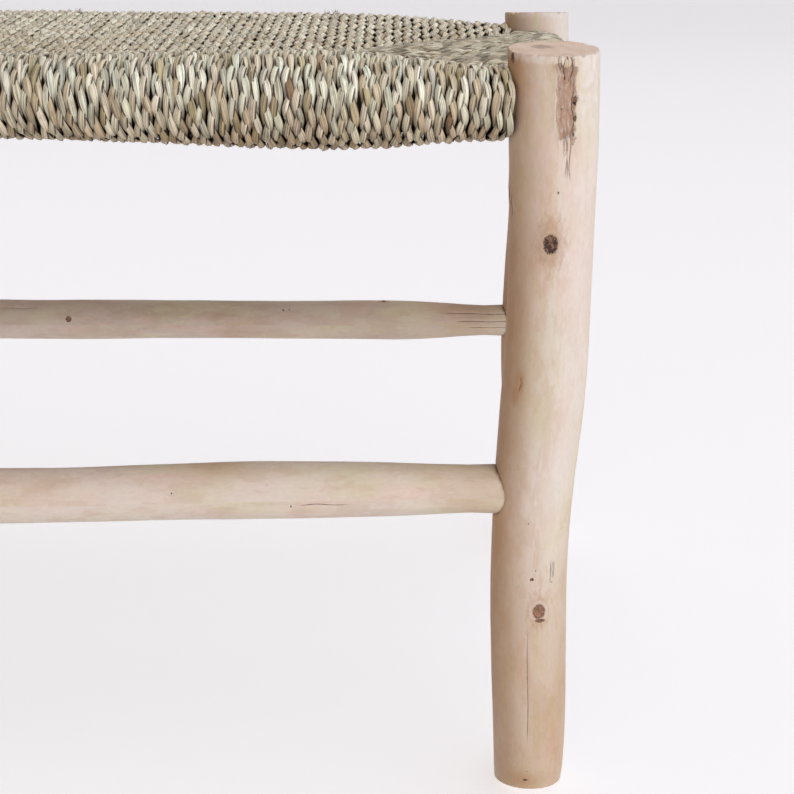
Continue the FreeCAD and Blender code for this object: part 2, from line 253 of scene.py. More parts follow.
class Shader:
    """A material with short ways to add and join its nodes."""

    def __init__(self, name):
        self.material = bpy.data.materials.new(name)
        self.material.use_nodes = True
        self.tree = self.material.node_tree
        self.tree.nodes.clear()

    def add(self, kind, inputs=(), **settings):
        node = self.tree.nodes.new(kind)
        for name, value in settings.items():
            setattr(node, name, value)
        for name, value in dict(inputs).items():
            socket = node.inputs[name]
            if isinstance(value, bpy.types.NodeSocket):
                self.tree.links.new(value, socket)
            else:
                socket.default_value = value
        return node

    def maths(self, operation, *values, clamp=False):
        return self.add("ShaderNodeMath", enumerate(values), operation=operation, use_clamp=clamp).outputs[0]

    def times(self, first, second):
        return self.maths("MULTIPLY", first, second)

    def plus(self, first, second):
        return self.maths("ADD", first, second)

    def away(self, number, middle):
        """How far a number lies from a middle, to either side."""
        return self.maths("ABSOLUTE", self.maths("SUBTRACT", number, middle))

    def swing(self, noise, width):
        """A noise that is moved and scaled to swing to both sides of nought."""
        return self.times(self.maths("SUBTRACT", noise, 0.5), width)

    def attribute(self, name):
        return self.add("ShaderNodeAttribute", attribute_name=name).outputs["Fac"]

    def place(self):
        return self.add("ShaderNodeTexCoord").outputs["Object"]

    def parts(self, vector):
        """The three numbers of a place."""
        return self.add("ShaderNodeSeparateXYZ", {"Vector": vector}).outputs

    def map_parts(self, name):
        """The two numbers of a UV map, in metres or turns."""
        first, second, _ = self.parts(self.add("ShaderNodeUVMap", uv_map=name).outputs["UV"])
        return first, second

    def stretched(self, first, second, third, scales):
        """A place whose three numbers are each scaled by their own amount."""
        parts = [self.times(part, scale) for part, scale in zip((first, second, third), scales)]
        return self.add("ShaderNodeCombineXYZ", dict(zip("XYZ", parts))).outputs["Vector"]

    def noise(self, place, detail=2.0, roughness=0.5, scale=1.0):
        inputs = {"Vector": place, "Scale": scale, "Detail": detail, "Roughness": roughness}
        return self.add("ShaderNodeTexNoise", inputs).outputs["Fac"]

    def ramp(self, factor, *stops):
        """Colours or greys by factor; stops are pairs of place and colour."""
        node = self.add("ShaderNodeValToRGB", {"Fac": factor})
        marks = node.color_ramp.elements
        while len(marks) < len(stops):
            marks.new(1.0)
        for mark, (place, tint) in zip(marks, stops):
            mark.position = place
            mark.color = (tint, tint, tint, 1) if isinstance(tint, float) else (*tint, 1)
        return node.outputs["Color"]

    def mix(self, factor, first, second, blend="MIX"):
        node = self.add("ShaderNodeMix", data_type="RGBA", blend_type=blend)
        for index, value in ((0, factor), (6, first), (7, second)):
            socket = node.inputs[index]
            if isinstance(value, bpy.types.NodeSocket):
                self.tree.links.new(value, socket)
            elif index:
                socket.default_value = (*value, 1)
            else:
                socket.default_value = value
        return node.outputs[2]

    def bump(self, height, distance, strength=1.0):
        inputs = {"Height": height, "Distance": distance, "Strength": strength}
        return self.add("ShaderNodeBump", inputs).outputs["Normal"]

    def finish(self, base, roughness, normal, specular=0.35):
        inputs = {"Base Color": base, "Roughness": roughness, "Specular IOR Level": specular}
        if normal is not None:
            inputs["Normal"] = normal
        surface = self.add("ShaderNodeBsdfPrincipled", inputs)
        self.add("ShaderNodeOutputMaterial", {"Surface": surface.outputs["BSDF"]})
        return self.material


def scaled(tint, amount):
    return tuple(min(1.0, part * amount) for part in tint)


def blended(first, second, amount):
    return tuple(a + (b - a) * amount for a, b in zip(first, second))


class PoleSkin(Shader):
    """Material of a peeled pole, with the noises that its layers share."""

    def __init__(self, name, wood, base):
        super().__init__(name)
        self.wood = wood
        self.base = base
        self.along, self.around = self.map_parts("PoleMap")
        self.seed = self.attribute("seed")
        self.patches = self.grain((18.0, 38.0, 1.0), 4.0, 0.6)
        self.streaks = self.grain((24.0, 650.0, 1.0), 4.0, 0.62)
        self.skin = self.grain((240.0, 520.0, 1.0), 4.0, 0.7)
        self.flecks = self.grain((150.0, 800.0, 1.0), 3.0, 0.7)
        self.grit = self.grain((1500.0, 1500.0, 1.0), 3.0, 0.7)

    def grain(self, scales, detail=2.0, roughness=0.5):
        """Noise over the pole's side, scaled along the pole, round it and from pole to pole."""
        return self.noise(self.stretched(self.along, self.around, self.seed, scales), detail, roughness)

    def peeled(self, tan_share, bleach_share):
        """Colour of the bare wood: broad patches, stains, streaks and flecks."""
        wood, base = self.wood, self.base
        bleached = blended(base, wood.bleached, bleach_share)
        blush = self.grain((26.0, 56.0, 5.0), 3.0, 0.6)
        sage = self.grain((14.0, 42.0, 7.0), 4.0, 0.6)
        bleach = self.grain((15.0, 34.0, 3.0), 4.0, 0.6)
        mottle = self.grain((40.0, 85.0, 9.0), 5.0, 0.65)
        tone_mark = self.times(self.attribute("tone_mark"), self.ramp(self.patches, (0.3, 0.7), (0.6, 1.0)))
        tan_from = 0.54 - 0.2 * tan_share
        layers = (
            (self.ramp(self.patches, (tan_from, 0.0), (0.64, 0.42)), blended(base, wood.tan, 0.7)),
            (self.ramp(blush, (0.46, 0.0), (0.56, 0.7)), blended(base, wood.blush, 0.8)),
            (self.ramp(sage, (0.46, 0.0), (0.55, 0.85)), blended(base, wood.sage, 0.9)),
            (self.ramp(bleach, (0.45, 0.0), (0.56, 0.6)), bleached),
            (self.ramp(mottle, (0.51, 0.0), (0.55, 0.3)), blended(base, wood.tan, 0.6)),
            (self.ramp(mottle, (0.41, 0.3), (0.45, 0.0)), bleached),
            # Tone marks: real tan and bleached patches, and on the legs also painted shade on the left sides
            # and painted light on the right sides and rims.
            (self.maths("MULTIPLY", tone_mark, 0.85, clamp=True), wood.tan),
            (self.maths("MULTIPLY", tone_mark, -0.9, clamp=True), wood.bleached),
        )
        tint = base
        for amount, layer in layers:
            tint = self.mix(amount, tint, layer)
        tint = self.mix(0.12, tint, self.ramp(self.streaks, (0.30, 0.80), (0.55, 1.0)), "MULTIPLY")
        tint = self.mix(0.35, tint, self.ramp(self.skin, (0.3, 0.80), (0.6, 1.0)), "MULTIPLY")
        return self.mix(self.ramp(self.flecks, (0.70, 0.0), (0.78, 0.35)), tint, scaled(wood.tan, 0.6))

    def with_halos(self, tint):
        """Adds the tan wood round the knots."""
        far = self.plus(self.attribute("halo_far"), self.swing(self.skin, 1.2))
        halo = self.ramp(far, (0.15, 0.7), (0.6, 0.48), (1.0, 0.0))
        return self.mix(halo, tint, blended(self.wood.tan, self.wood.red, 0.3))

    def with_bark(self, tint):
        """Adds rough bark with a frayed pale edge. Gives the colour and the bark's height."""
        wood = self.wood
        inside = self.plus(self.attribute("bark_in"), self.swing(self.grit, 2.2 * MM))
        bark = self.ramp(self.maths("MULTIPLY_ADD", inside, 400.0, 0.5), (0.4, 0.0), (0.6, 1.0))
        edge = self.maths("ABSOLUTE", self.maths("MULTIPLY_ADD", inside, 300.0, 0.25))
        frayed = self.ramp(edge, (0.1, 0.6), (0.6, 0.0))
        frayed = self.times(frayed, self.ramp(self.streaks, (0.42, 0.0), (0.58, 1.0)))
        rough = self.grain((230.0, 700.0, 1.0), 5.0, 0.72)
        bark_tint = self.ramp(rough, (0.33, scaled(wood.bark, 0.35)), (0.42, scaled(wood.bark, 0.85)),
                              (0.53, wood.bark), (0.64, blended(wood.bark, wood.bleached, 0.4)))
        tint = self.mix(bark, tint, bark_tint)
        return self.mix(frayed, tint, wood.bleached), self.times(rough, self.times(bark, 3.0))

    def with_knots(self, tint):
        """Adds dark and red knots. Gives the colour and the height of the lumps in the knots."""
        wood = self.wood
        red, ringed = self.attribute("knot_red"), self.attribute("knot_rim")
        far = self.plus(self.attribute("knot_far"), self.swing(self.grit, 1.1))
        heart = self.ramp(far, (0.88, 1.0), (1.0, 0.0))
        lips = self.ramp(self.away(far, 1.3), (0.08, 0.5), (0.28, 0.0))
        rim = self.ramp(self.away(far, 0.92), (0.04, 0.8), (0.16, 0.0))
        rim = self.times(rim, self.maths("MULTIPLY_ADD", red, -0.75, 1.0))
        lumps = self.ramp(self.grain((400.0, 480.0, 1.0)), (0.46, 0.0), (0.56, 1.0))
        reddish = self.maths("MULTIPLY_ADD", lumps, 0.55, self.times(red, 0.65), clamp=True)
        knot_tint = self.mix(reddish, scaled(wood.knot, 0.6), blended(wood.red, wood.tan, 0.35))
        in_ring = self.maths("FRACT", self.times(far, 2.6))
        rings = self.ramp(in_ring, (0.1, 0.45), (0.4, 1.0), (0.9, 1.0), (1.0, 0.45))
        knot_tint = self.mix(red, knot_tint, self.mix(1.0, knot_tint, rings, "MULTIPLY"))
        tint = self.mix(self.times(lips, self.times(red, ringed)), tint, wood.bleached)
        tint = self.mix(heart, tint, knot_tint)
        tint = self.mix(self.times(rim, ringed), tint, wood.knot)
        return tint, self.times(heart, self.times(lumps, 1.2))

    def with_cracks(self, tint):
        """Adds cracks, and painted shade in the creases round the joints. Gives the colour and the cracks'
        depth.
        """
        dark, tan = self.wood.knot, self.wood.tan
        side = self.plus(self.attribute("crack_side"), self.swing(self.flecks, 0.8 * MM))
        line = self.ramp(self.times(self.maths("ABSOLUTE", side), 1000.0), (0.10, 1.0), (0.34, 0.0))
        line = self.times(line, self.attribute("crack_tip"))
        tint = self.mix(line, tint, blended(dark, tan, 0.2))
        return self.mix(self.attribute("joint"), tint, blended(dark, tan, 0.35)), self.times(line, 1.5)


def peeled_wood(name, wood, base, tan_share, bleach_share):
    """Peeled pole: faint grain, broad patches, and the pole's own knots, cracks and bark."""
    s = PoleSkin(name, wood, base)
    tint = s.with_halos(s.peeled(tan_share, bleach_share))
    tint, bark_height = s.with_bark(tint)
    tint, knot_height = s.with_knots(tint)
    tint, crack_depth = s.with_cracks(tint)
    relief = s.plus(s.times(s.skin, 0.45), s.times(s.streaks, 0.1))
    relief = s.maths("SUBTRACT", s.plus(relief, bark_height), crack_depth)
    normal = s.bump(s.plus(relief, knot_height), 0.3 * MM, 0.7)
    return s.finish(tint, s.ramp(s.patches, (0.3, 0.52), (0.7, 0.68)), normal, 0.3)


def sawn_wood(name, wood):
    """Sawn end of a pole: very faint rings, saw lines, grime and a grey scar."""
    s = Shader(name)
    x, y, _ = s.parts(s.place())
    seed = s.attribute("seed")
    wobble = s.noise(s.stretched(x, y, seed, (60.0, 60.0, 1.0)))
    ring = s.plus(s.attribute("ring"), s.times(wobble, 0.012))
    rings = s.noise(s.stretched(ring, seed, seed, (480.0, 1.0, 1.0)), 1.0)
    saw = s.noise(s.stretched(x, y, seed, (90.0, 1500.0, 1.0)))
    browning = s.noise(s.stretched(x, y, seed, (110.0, 110.0, 1.0)), 4.0, 0.65)
    tint = s.mix(s.ramp(rings, (0.35, 0.0), (0.65, 0.18)), wood.sawn, scaled(wood.sawn, 0.75))
    tint = s.mix(s.ramp(browning, (0.45, 0.0), (0.7, 0.45)), tint, blended(wood.sawn, wood.tan, 0.8))
    scar = s.ramp(s.maths("MULTIPLY_ADD", browning, 0.5, s.attribute("scar")), (0.65, 0.0), (0.9, 0.75))
    tint = s.mix(scar, tint, blended(wood.grey, wood.knot, 0.3))
    return s.finish(tint, 0.75, s.bump(s.plus(saw, browning), 0.3 * MM, 0.7), 0.2)


def shaded_rail_wood(name, wood):
    """Rail wood painted dark: painted shade, seen only as dark wood between the strands."""
    s = Shader(name)
    grain = s.noise(s.place(), 3.0, scale=180.0)
    tint = s.ramp(grain, (0.3, scaled(wood.rail_shade, 0.6)), (0.7, wood.rail_shade))
    return s.finish(tint, 0.9, s.bump(grain, 0.5 * MM), 0.1)


def tack_steel(name):
    """Plain steel with specks of rust."""
    s = Shader(name)
    rust = s.noise(s.place(), 4.0, scale=700.0)
    tint = s.ramp(rust, (0.4, (0.35, 0.34, 0.33)), (0.65, (0.20, 0.10, 0.05)))
    surface = s.finish(tint, s.ramp(rust, (0.4, 0.35), (0.65, 0.8)), s.bump(rust, 0.1 * MM))
    s.tree.nodes["Principled BSDF"].inputs["Metallic"].default_value = 0.8
    return surface


def palm_rope(name, rope):
    """Plaited palm leaf: each strip changes colour from leaf to leaf and has fine ribs. Low on the seat it is
    browner leaf and darker with painted shade; painted shade also darkens the grooves between the strips and
    the depth of the strand, and painted light makes it paler where it faces upwards."""
    s = Shader(name)
    along, turn = s.map_parts("RopeMap")
    strand = s.attribute("strand")
    strip_turn = s.times(turn, float(rope.plies))
    strip = s.maths("FLOOR", strip_turn)
    leaf = s.noise(s.stretched(s.attribute("leaf"), strip, strand, (0.83, 7.7, 3.3)), 1.5)
    shade = s.noise(s.stretched(along, strip, strand, (75.0, 5.3, 1.9)), 1.0)
    ribs = s.noise(s.stretched(along, turn, strand, (16.0, 40.0, 1.7)), 2.0, 0.65)
    lines = s.ramp(s.away(ribs, 0.5), (0.0, 0.35), (0.045, 1.0))
    tone_mark = s.noise(s.stretched(along, turn, strand, (120.0, 4.0, 2.1)), 3.0, 0.65)
    # Painted light: the leaf is made paler and more straw coloured where its strands face upwards.
    top_light = s.ramp(s.attribute("upward"), (0.75, 0.0), (0.97, 1.0))
    # Painted shade: each strip is darkened to brown towards its edges, in the grooves between the strips, and
    # less so where the strand faces upwards.
    edge = s.ramp(s.away(s.maths("FRACT", strip_turn), 0.5), (0.13, 0.0), (0.215, 1.0))
    edge = s.times(edge, s.maths("MULTIPLY_ADD", top_light, -0.38, 1.0))
    # Painted shade with browner leaf: the colour is darker and browner lower on the seat.
    low = s.ramp(s.times(s.parts(s.place())["Z"], 2.0), (0.79, 1.0), (0.876, 0.0))
    # Painted shade: the leaf is darkened deep in the strand, at its sides and between its strips, where shade
    # falls.
    hollow_shade = s.ramp(s.attribute("shade_depth"), (0.25, 1.0), (0.5, 0.6), (0.8, 0.15))
    tint = s.ramp(leaf, (0.26, rope.brown), (0.33, rope.khaki), (0.40, rope.beige), (0.46, rope.mint),
                  (0.51, rope.beige), (0.55, rope.cream), (0.64, scaled(rope.mint, 1.1)))
    tint = s.mix(s.times(top_light, 0.45), tint, rope.lit_straw)
    tint = s.mix(1.0, tint, s.ramp(shade, (0.30, 0.72), (0.48, 1.0)), "MULTIPLY")
    tint = s.mix(1.0, tint, lines, "MULTIPLY")
    tint = s.mix(edge, tint, scaled(rope.brown, 0.3))
    tint = s.mix(s.ramp(tone_mark, (0.55, 0.0), (0.75, 0.6)), tint, rope.brown)
    tint = s.mix(low, tint, s.mix(1.0, tint, rope.browning, "MULTIPLY"))
    tint = s.mix(1.0, tint, hollow_shade, "MULTIPLY")
    return s.finish(tint, 0.5, s.bump(s.plus(s.times(lines, 0.5), ribs), 0.6 * MM), 0.4)


def studio_floor(name, tint, glow):
    """Pale floor that gives off a little light, and less of it far behind the bench."""
    s = Shader(name)
    cloud = s.noise(s.place(), 1.0, scale=0.6)
    material = s.finish(s.ramp(cloud, (0.3, scaled(tint, 0.99)), (0.7, tint)), 0.8, None, 0.1)
    far = s.maths("MULTIPLY_ADD", s.parts(s.place())["Y"], 0.1, 0.1, clamp=True)
    surface = s.tree.nodes["Principled BSDF"]
    s.tree.links.new(s.ramp(far, (0.0, tint), (0.7, scaled(tint, 0.55))), surface.inputs["Emission Color"])
    surface.inputs["Emission Strength"].default_value = glow
    return material


# Meshes

def new_piece(name, points, faces, replaced):
    """A smooth mesh piece on the bench's one body."""
    mesh = bpy.data.meshes.new(name)
    mesh.from_pydata(points, [], faces)
    mesh.shade_smooth()
    return adopt(name, mesh, replaced)


def adopt(name, mesh, replaced):
    piece = bpy.data.objects.new(name, mesh)
    bpy.context.scene.collection.objects.link(piece)
    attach(piece, "root")
    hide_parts(replaced)
    return piece


def set_attribute(mesh, name, values):
    layer = mesh.attributes.new(name, "FLOAT", "POINT")
    layer.data.foreach_set("value", np.asarray(values, np.float32).ravel())


# Marks on the poles. A mark's place is metres along the pole and degrees round it, from the front (from the
# outer side on an end stretcher), towards +X on a leg and upwards on a stretcher. Sizes are in millimetres.

NO_MARK = 9.0              # distance, in radii of a knot, where no knot is near
BARK_REACH = 9 * MM        # bark is told apart from bare wood up to this far from its edge
CREASE = 0.9 * MM          # half width of a crack or of a crease


def knot(place, turn, wide, tall=1.3, red=0.0, rise=0.5, pit=0.8, halo=1.0):
    sizes = dict(wide=wide * MM, tall=wide * tall * MM, rise=rise * MM, pit=pit * MM)
    return "knot", dict(place=place, turn=turn, red=red, halo=halo, **sizes)


def chip(place, turn, wide, tall=1.0):
    return knot(place, turn, wide, tall, 0.0, 0.0, 0.5, 0.0)


def crack(low, high, turn, strength=1.0, lean=0.0, sway=1.2):
    return "crack", dict(low=low, high=high, turn=turn, strength=strength, lean=lean, sway=sway)


def bark(low, high, left, right):
    return "bark", dict(low=low, high=high, left=left, right=right)


def crust(low, left, right):
    """Pale wrinkled skin from a height up to the sawn top."""
    return "crust", dict(low=low, left=left, right=right)


def tone_mark(place, turn, wide, tall, amount):
    """A tan patch, or a bleached one for an amount below nought. On the legs, some tan ones are partly painted
    shade and some bleached ones partly painted light.
    """
    return "tone_mark", dict(place=place, turn=turn, wide=wide * MM, tall=tall * MM, amount=amount)


SEEN_MARKS = {
    "leg_front_right": (
        bark(0.404, 0.440, -2.0, 21.0),
        bark(0.432, 0.438, 1.0, 19.0),
        crust(0.440, -2.0, 24.0),
        tone_mark(0.443, 10.0, 7.0, 9.0, 0.9),
        crack(0.436, 0.452, 1.0, 0.8),
        crack(0.433, 0.449, 17.0, 0.9),
        chip(0.4445, 11.0, 1.0, 3.0),
        crust(0.410, 23.0, 66.0),
        tone_mark(0.425, 9.0, 9.0, 34.0, 0.35),
        tone_mark(0.436, -68.0, 10.0, 13.0, 0.9),
        knot(0.4420, -66.0, 3.6, 1.7, 0.45, 0.0, 0.4, 0.0),
        crack(0.434, 0.446, 6.8, 0.9),
        crack(0.405, 0.430, 18.0, 1.0),
        chip(0.4225, 20.5, 2.0, 3.0),
        chip(0.4130, 21.0, 1.6, 2.4),
        chip(0.4050, 18.5, 1.3, 2.0),
        chip(0.4340, 8.0, 1.2, 2.2),
        chip(0.4180, 4.0, 1.0, 1.6),
        crack(0.382, 0.410, 10.0, 0.7, 0.0, 0.8),
        crack(0.380, 0.411, 14.5, 0.7, 0.0, 0.8),
        crack(0.393, 0.412, 6.0, 0.5, 0.0, 0.6),
        chip(0.3755, 0.5, 1.1, 2.0),
        knot(0.3485, -8.0, 7.6, 1.35, 0.1, 0.6, 1.0, 1.0),
        crack(0.359, 0.373, -76.0, 1.0),
        tone_mark(0.2705, -42.0, 2.5, 6.0, 0.8),
        crack(0.265, 0.274, -41.0, 0.8),
        tone_mark(0.262, -48.0, 2.5, 5.0, 0.6),
        chip(0.188, -10.0, 1.1),
        knot(0.1325, 10.0, 7.4, 1.3, 1.0, 0.7, 0.3, 0.8),
        chip(0.1263, 12.0, 6.2, 0.42),
        chip(0.1530, -1.0, 2.4, 0.9),
        chip(0.1585, 4.0, 0.9, 1.6),
        chip(0.1600, -1.0, 0.8, 1.6),
        crack(0.149, 0.165, 28.0, 0.8, 0.0, 0.3),
        crack(0.152, 0.164, 34.0, 0.8, 0.0, 0.3),
        chip(0.1495, 31.0, 1.4, 0.9),
        crack(0.036, 0.126, -8.0, 0.6, 1.5, 0.4),
        # Partly painted shade: tan down the leg's left side, partly inner bark and partly the shaded side's
        # darkness.
        tone_mark(0.095, -68.0, 19.0, 120.0, 0.9),
        tone_mark(0.320, -78.0, 22.0, 170.0, 1.2),
        tone_mark(0.040, 25.0, 70.0, 80.0, 0.4),
        tone_mark(0.085, 58.0, 16.0, 110.0, 0.6),
        # Partly painted light: bleached wood on the leg's lit right side.
        tone_mark(0.330, 45.0, 18.0, 120.0, -0.8),
        tone_mark(0.215, 30.0, 14.0, 30.0, -0.8),
        chip(0.0175, -8.5, 1.6, 0.6),
        chip(0.0085, -10.0, 3.4, 0.6),
        tone_mark(0.008, -10.0, 14.0, 10.0, 0.7),
    ),
    "leg_rear_right": (
        # Painted shade on the rear leg's left side, behind the front leg, and painted light on its lit right
        # side.
        tone_mark(0.300, -85.0, 28.0, 220.0, 1.3),
        tone_mark(0.440, 48.0, 16.0, 40.0, -1.0),
    ),
    "stretcher_front": (
        chip(0.242, 22.0, 1.6),
        crack(0.313, 0.343, -8.0, 0.9),
        chip(0.309, -12.0, 1.6),
        chip(0.316, -11.0, 1.0),
        tone_mark(0.415, 0.0, 30.0, 22.0, 0.45),
    ),
    "stretcher_rear": (
        knot(0.098, 17.0, 5.0, 1.0, 0.2, 0.4, 0.6, 0.3),
        chip(0.268, 46.0, 1.5),
        chip(0.275, 47.0, 2.2),
        chip(0.280, 49.0, 1.7),
        crack(0.405, 0.470, 42.0, 0.9),
        crack(0.415, 0.470, 12.0, 0.9),
        crack(0.425, 0.470, -12.0, 0.8),
        crack(0.040, 0.075, 50.0, 0.7),
        tone_mark(0.245, -30.0, 10.0, 25.0, 0.5),
        tone_mark(0.430, 0.0, 30.0, 40.0, 0.4),
    ),
}


# Grey scar on the sawn top of a leg, from the leg's middle
SCARRED_LEG = "leg_front_right"
SCAR_PLACE = (-5.3 * MM, 4.3 * MM)
SCAR_RADIUS = 5.7 * MM


def chance_marks(name, first, last):
    """Marks on the sides that the photograph doesn't show."""
    draw = random.Random(name)

    def hidden_side():
        return draw.uniform(80, 280)

    marks = []
    for _ in range(2 + int((last - first) * 3)):
        place = draw.uniform(first + 0.03, last - 0.03)
        marks.append(knot(place, hidden_side(), draw.uniform(2.5, 7.5), draw.uniform(1.0, 1.4),
                          draw.choice((0.0, 0.2, 1.0))))
    for _ in range(3 + int((last - first) * 4)):
        low = draw.uniform(first + 0.02, last - 0.1)
        high = low + draw.uniform(0.02, 0.08)
        marks.append(crack(low, high, hidden_side(), draw.uniform(0.5, 0.9)))
        marks.append(tone_mark(draw.uniform(first, last), hidden_side(), draw.uniform(8, 20),
                           draw.uniform(15, 60), draw.uniform(0.3, 0.7)))
    return marks


def smooth_step(low, high, values):
    share_of = np.clip((values - low) / (high - low), 0, 1)
    return share_of * share_of * (3 - 2 * share_of)


def turn_between(turns, turn):
    """Signed angle in radians from one turn to each of many."""
    return (turns - math.radians(turn) + math.pi) % (2 * math.pi) - math.pi


def noise_grid(places, turns, along_scale, round_scale, seed):
    """Smooth noise over the side of a pole, one value for each row and turn."""
    out = np.zeros((len(places), len(turns)))
    rings = [(math.cos(t) * round_scale + seed, math.sin(t) * round_scale - seed) for t in turns]
    for row, place in enumerate(places):
        out[row] = [noise.noise((a, b, place * along_scale + seed)) for a, b in rings]
    return out


class MarkFields:
    """Relief of a pole's marks in metres, and the numbers at each point that their colours are drawn from."""

    def __init__(self, places, turns, radii, rough):
        self.places, self.turns, self.radii, self.rough = places, turns, radii, rough
        self.along = places[:, None]
        shape = (len(places), len(turns))
        self.relief = np.zeros(shape)
        bare = dict(knot_far=NO_MARK, knot_red=0.0, knot_rim=0.0, halo_far=NO_MARK, crack_side=1.0,
                    crack_tip=0.0, bark_in=-BARK_REACH, tone_mark=0.0, joint=0.0)
        self.fields = {name: np.full(shape, value) for name, value in bare.items()}

    def across(self, turn):
        """Metres round the pole from a turn to each point."""
        return turn_between(self.turns, turn)[None, :] * self.radii[:, None]

    def keep(self, where, **values):
        """Puts new values into some fields at the points that where names."""
        for name, value in values.items():
            self.fields[name] = np.where(where, value, self.fields[name])

    def add_knot(self, place, turn, wide, tall, red, rise, pit, halo):
        across = self.across(turn)
        far = np.hypot((self.along - place) / (tall / 2), across / (wide / 2))
        self.relief += rise * np.exp(-(far / 1.7) ** 2) - pit * (1 - smooth_step(0.6, 1.1, far))
        self.keep(far < self.fields["knot_far"], knot_far=far, knot_red=red, knot_rim=min(1.0, halo))
        if halo:
            halo_far = np.hypot((self.along - place) / (1.9 * tall), across / (1.3 * wide)) + 1 - halo
            self.fields["halo_far"] = np.minimum(self.fields["halo_far"], halo_far)

    def add_crack(self, low, high, turn, strength, lean, sway):
        up = (self.places - low) / (high - low)
        drift = np.radians(sway * np.sin(9 * up + turn) + lean * up)
        side = self.across(turn) - (drift * self.radii)[:, None]
        tip = (smooth_step(0.0, 0.18, up) * (1 - smooth_step(0.75, 1.0, up)))[:, None]
        nearer = np.where(tip > 0, np.abs(side), 1.0) < np.abs(self.fields["crack_side"])
        self.keep(nearer, crack_side=side, crack_tip=strength * tip)
        self.relief -= 0.4 * MM * strength * np.exp(-(side / CREASE) ** 2) * tip

    def add_bark(self, low, high, left, right):
        half = math.radians(right - left) / 2 * self.radii[:, None]
        inside = half - np.abs(self.across((left + right) / 2)) + 2.0 * MM * self.rough
        ragged = 5 * MM * self.rough[:1] + 1.2 * MM * self.rough
        inside = np.minimum(inside, np.minimum(self.along - low, high - self.along) + ragged)
        clipped = np.clip(inside, -BARK_REACH, BARK_REACH)
        self.fields["bark_in"] = np.maximum(self.fields["bark_in"], clipped)
        self.relief += 0.45 * MM * np.exp(-((inside + 0.6 * MM) / CREASE) ** 2)
        self.relief -= 0.7 * MM * smooth_step(0.0, 1.5 * MM, inside) * (1 - 0.8 * self.rough)

    def add_crust(self, low, left, right):
        turned = np.abs(np.degrees(turn_between(self.turns, (left + right) / 2)))
        inside = (1 - smooth_step(0.7, 1.1, turned / ((right - left) / 2)))[None, :]
        inside = inside * smooth_step(low - 8 * MM, low + 8 * MM, self.along)
        self.relief += inside * (0.3 * MM + 0.8 * MM * self.rough)
        self.fields["tone_mark"] -= inside * (0.6 + 0.7 * self.rough)

    def add_tone_mark(self, place, turn, wide, tall, amount):
        far = np.hypot((self.along - place) / tall, self.across(turn) / wide)
        self.fields["tone_mark"] += amount * np.exp(-far ** 2)

    def add_joint(self, place, turn, wide):
        rim = np.hypot(self.along - place, self.across(turn)) - wide / 2
        crease = np.exp(-(rim / CREASE) ** 2)
        self.relief -= 0.7 * MM * crease
        # Painted shade: the crease round a joint is given dark wood colour.
        self.fields["joint"] = np.maximum(self.fields["joint"], 0.75 * crease)


def leg_joints(leg):
    """The creases round the stretchers that enter a leg."""
    front_or_rear, left_or_right = leg.split("_")[1:]
    marks = []
    for bar, axis in ((f"stretcher_{front_or_rear}", X), (f"stretcher_{left_or_right}", Y)):
        low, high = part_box(leg)
        inward = -1 if low[axis] > 0 else 1
        face = (high if inward > 0 else low)[axis] + inward * 2 * MM
        centre, radius = measure_pole(bar, axis, [face])
        turn = inward * 90 if axis == X else (0 if inward < 0 else 180)
        marks.append(("joint", dict(place=centre[0, Z], turn=turn, wide=2 * radius[0])))
    return marks


def leg_creases(points, height):
    """1 where a point of a stretcher lies on the side of a leg, falling off within a millimetre."""
    out = np.zeros(points.shape[:2])
    for leg in LEGS:
        centres, radii = measure_pole(leg, Z, [height + 3 * MM])
        gap = np.hypot(points[:, :, X] - centres[0, X], points[:, :, Y] - centres[0, Y]) - radii[0]
        out = np.maximum(out, 0.9 * np.exp(-(gap / (0.8 * MM)) ** 2))
    return out


def leg_rows(height, wood):
    """Rows of points up a leg: height, share of the radius, inset of the edge, share of the side's relief."""
    rows = [(0.0, step / 10, FOOT_ROUND, 0.0) for step in range(10)]
    rows += [(FOOT_ROUND * (1 - math.cos(a)), 1.0, FOOT_ROUND * (1 - math.sin(a)), math.sin(a))
             for a in np.linspace(0, math.pi / 2, 7)]
    count = int((height - FOOT_ROUND - TOP_ROUND) / wood.leg_rows)
    rows += [(z, 1.0, 0.0, 1.0) for z in np.linspace(FOOT_ROUND, height - TOP_ROUND, count)[1:-1]]
    rows += [(height - TOP_ROUND * (1 - math.sin(a)), 1.0, TOP_ROUND * (1 - math.cos(a)), math.cos(a))
             for a in np.linspace(0, math.pi / 2, 5)]
    rows += [(height, step / 16, TOP_ROUND, 0.0) for step in range(15, -1, -1)]
    return np.array(rows)


def bar_rows(first, last, wood):
    """Rows of points along a stretcher, closed at both ends inside the legs."""
    count = int((last - first) / wood.bar_rows)
    rows = [(first, 0.0, 0.0, 0.0), (first, 0.5, 0.0, 0.0)]
    rows += [(place, 1.0, 0.0, 1.0) for place in np.linspace(first, last, count)]
    rows += [(last, 0.5, 0.0, 0.0), (last, 0.0, 0.0, 0.0)]
    return np.array(rows)


def grid_faces(rows, segments):
    """Faces of a tube of rings that closes to one point at each end, with the row of each face."""
    last = 1 + (rows - 2) * segments
    faces, face_rows = [], []
    for k in range(segments):
        faces.append((0, 1 + (k + 1) % segments, 1 + k))
        face_rows.append(0)
    for row in range(rows - 3):
        base = 1 + row * segments
        for k in range(segments):
            nxt = (k + 1) % segments
            faces.append((base + k, base + nxt, base + segments + nxt, base + segments + k))
            face_rows.append(row + 1)
    base = last - segments
    for k in range(segments):
        faces.append((base + k, base + (k + 1) % segments, last))
        face_rows.append(rows - 2)
    return faces, face_rows


def outward_from(axis, turns, on_right):
    """Directions straight out of a pole, one for each turn round it."""
    outward = np.zeros((len(turns), 3))
    if axis == Z:
        outward[:, X], outward[:, Y] = np.sin(turns), -np.cos(turns)
    elif axis == X:
        outward[:, Y], outward[:, Z] = -np.cos(turns), np.sin(turns)
    else:
        outward[:, X], outward[:, Z] = (1 if on_right else -1) * np.cos(turns), np.sin(turns)
    return outward


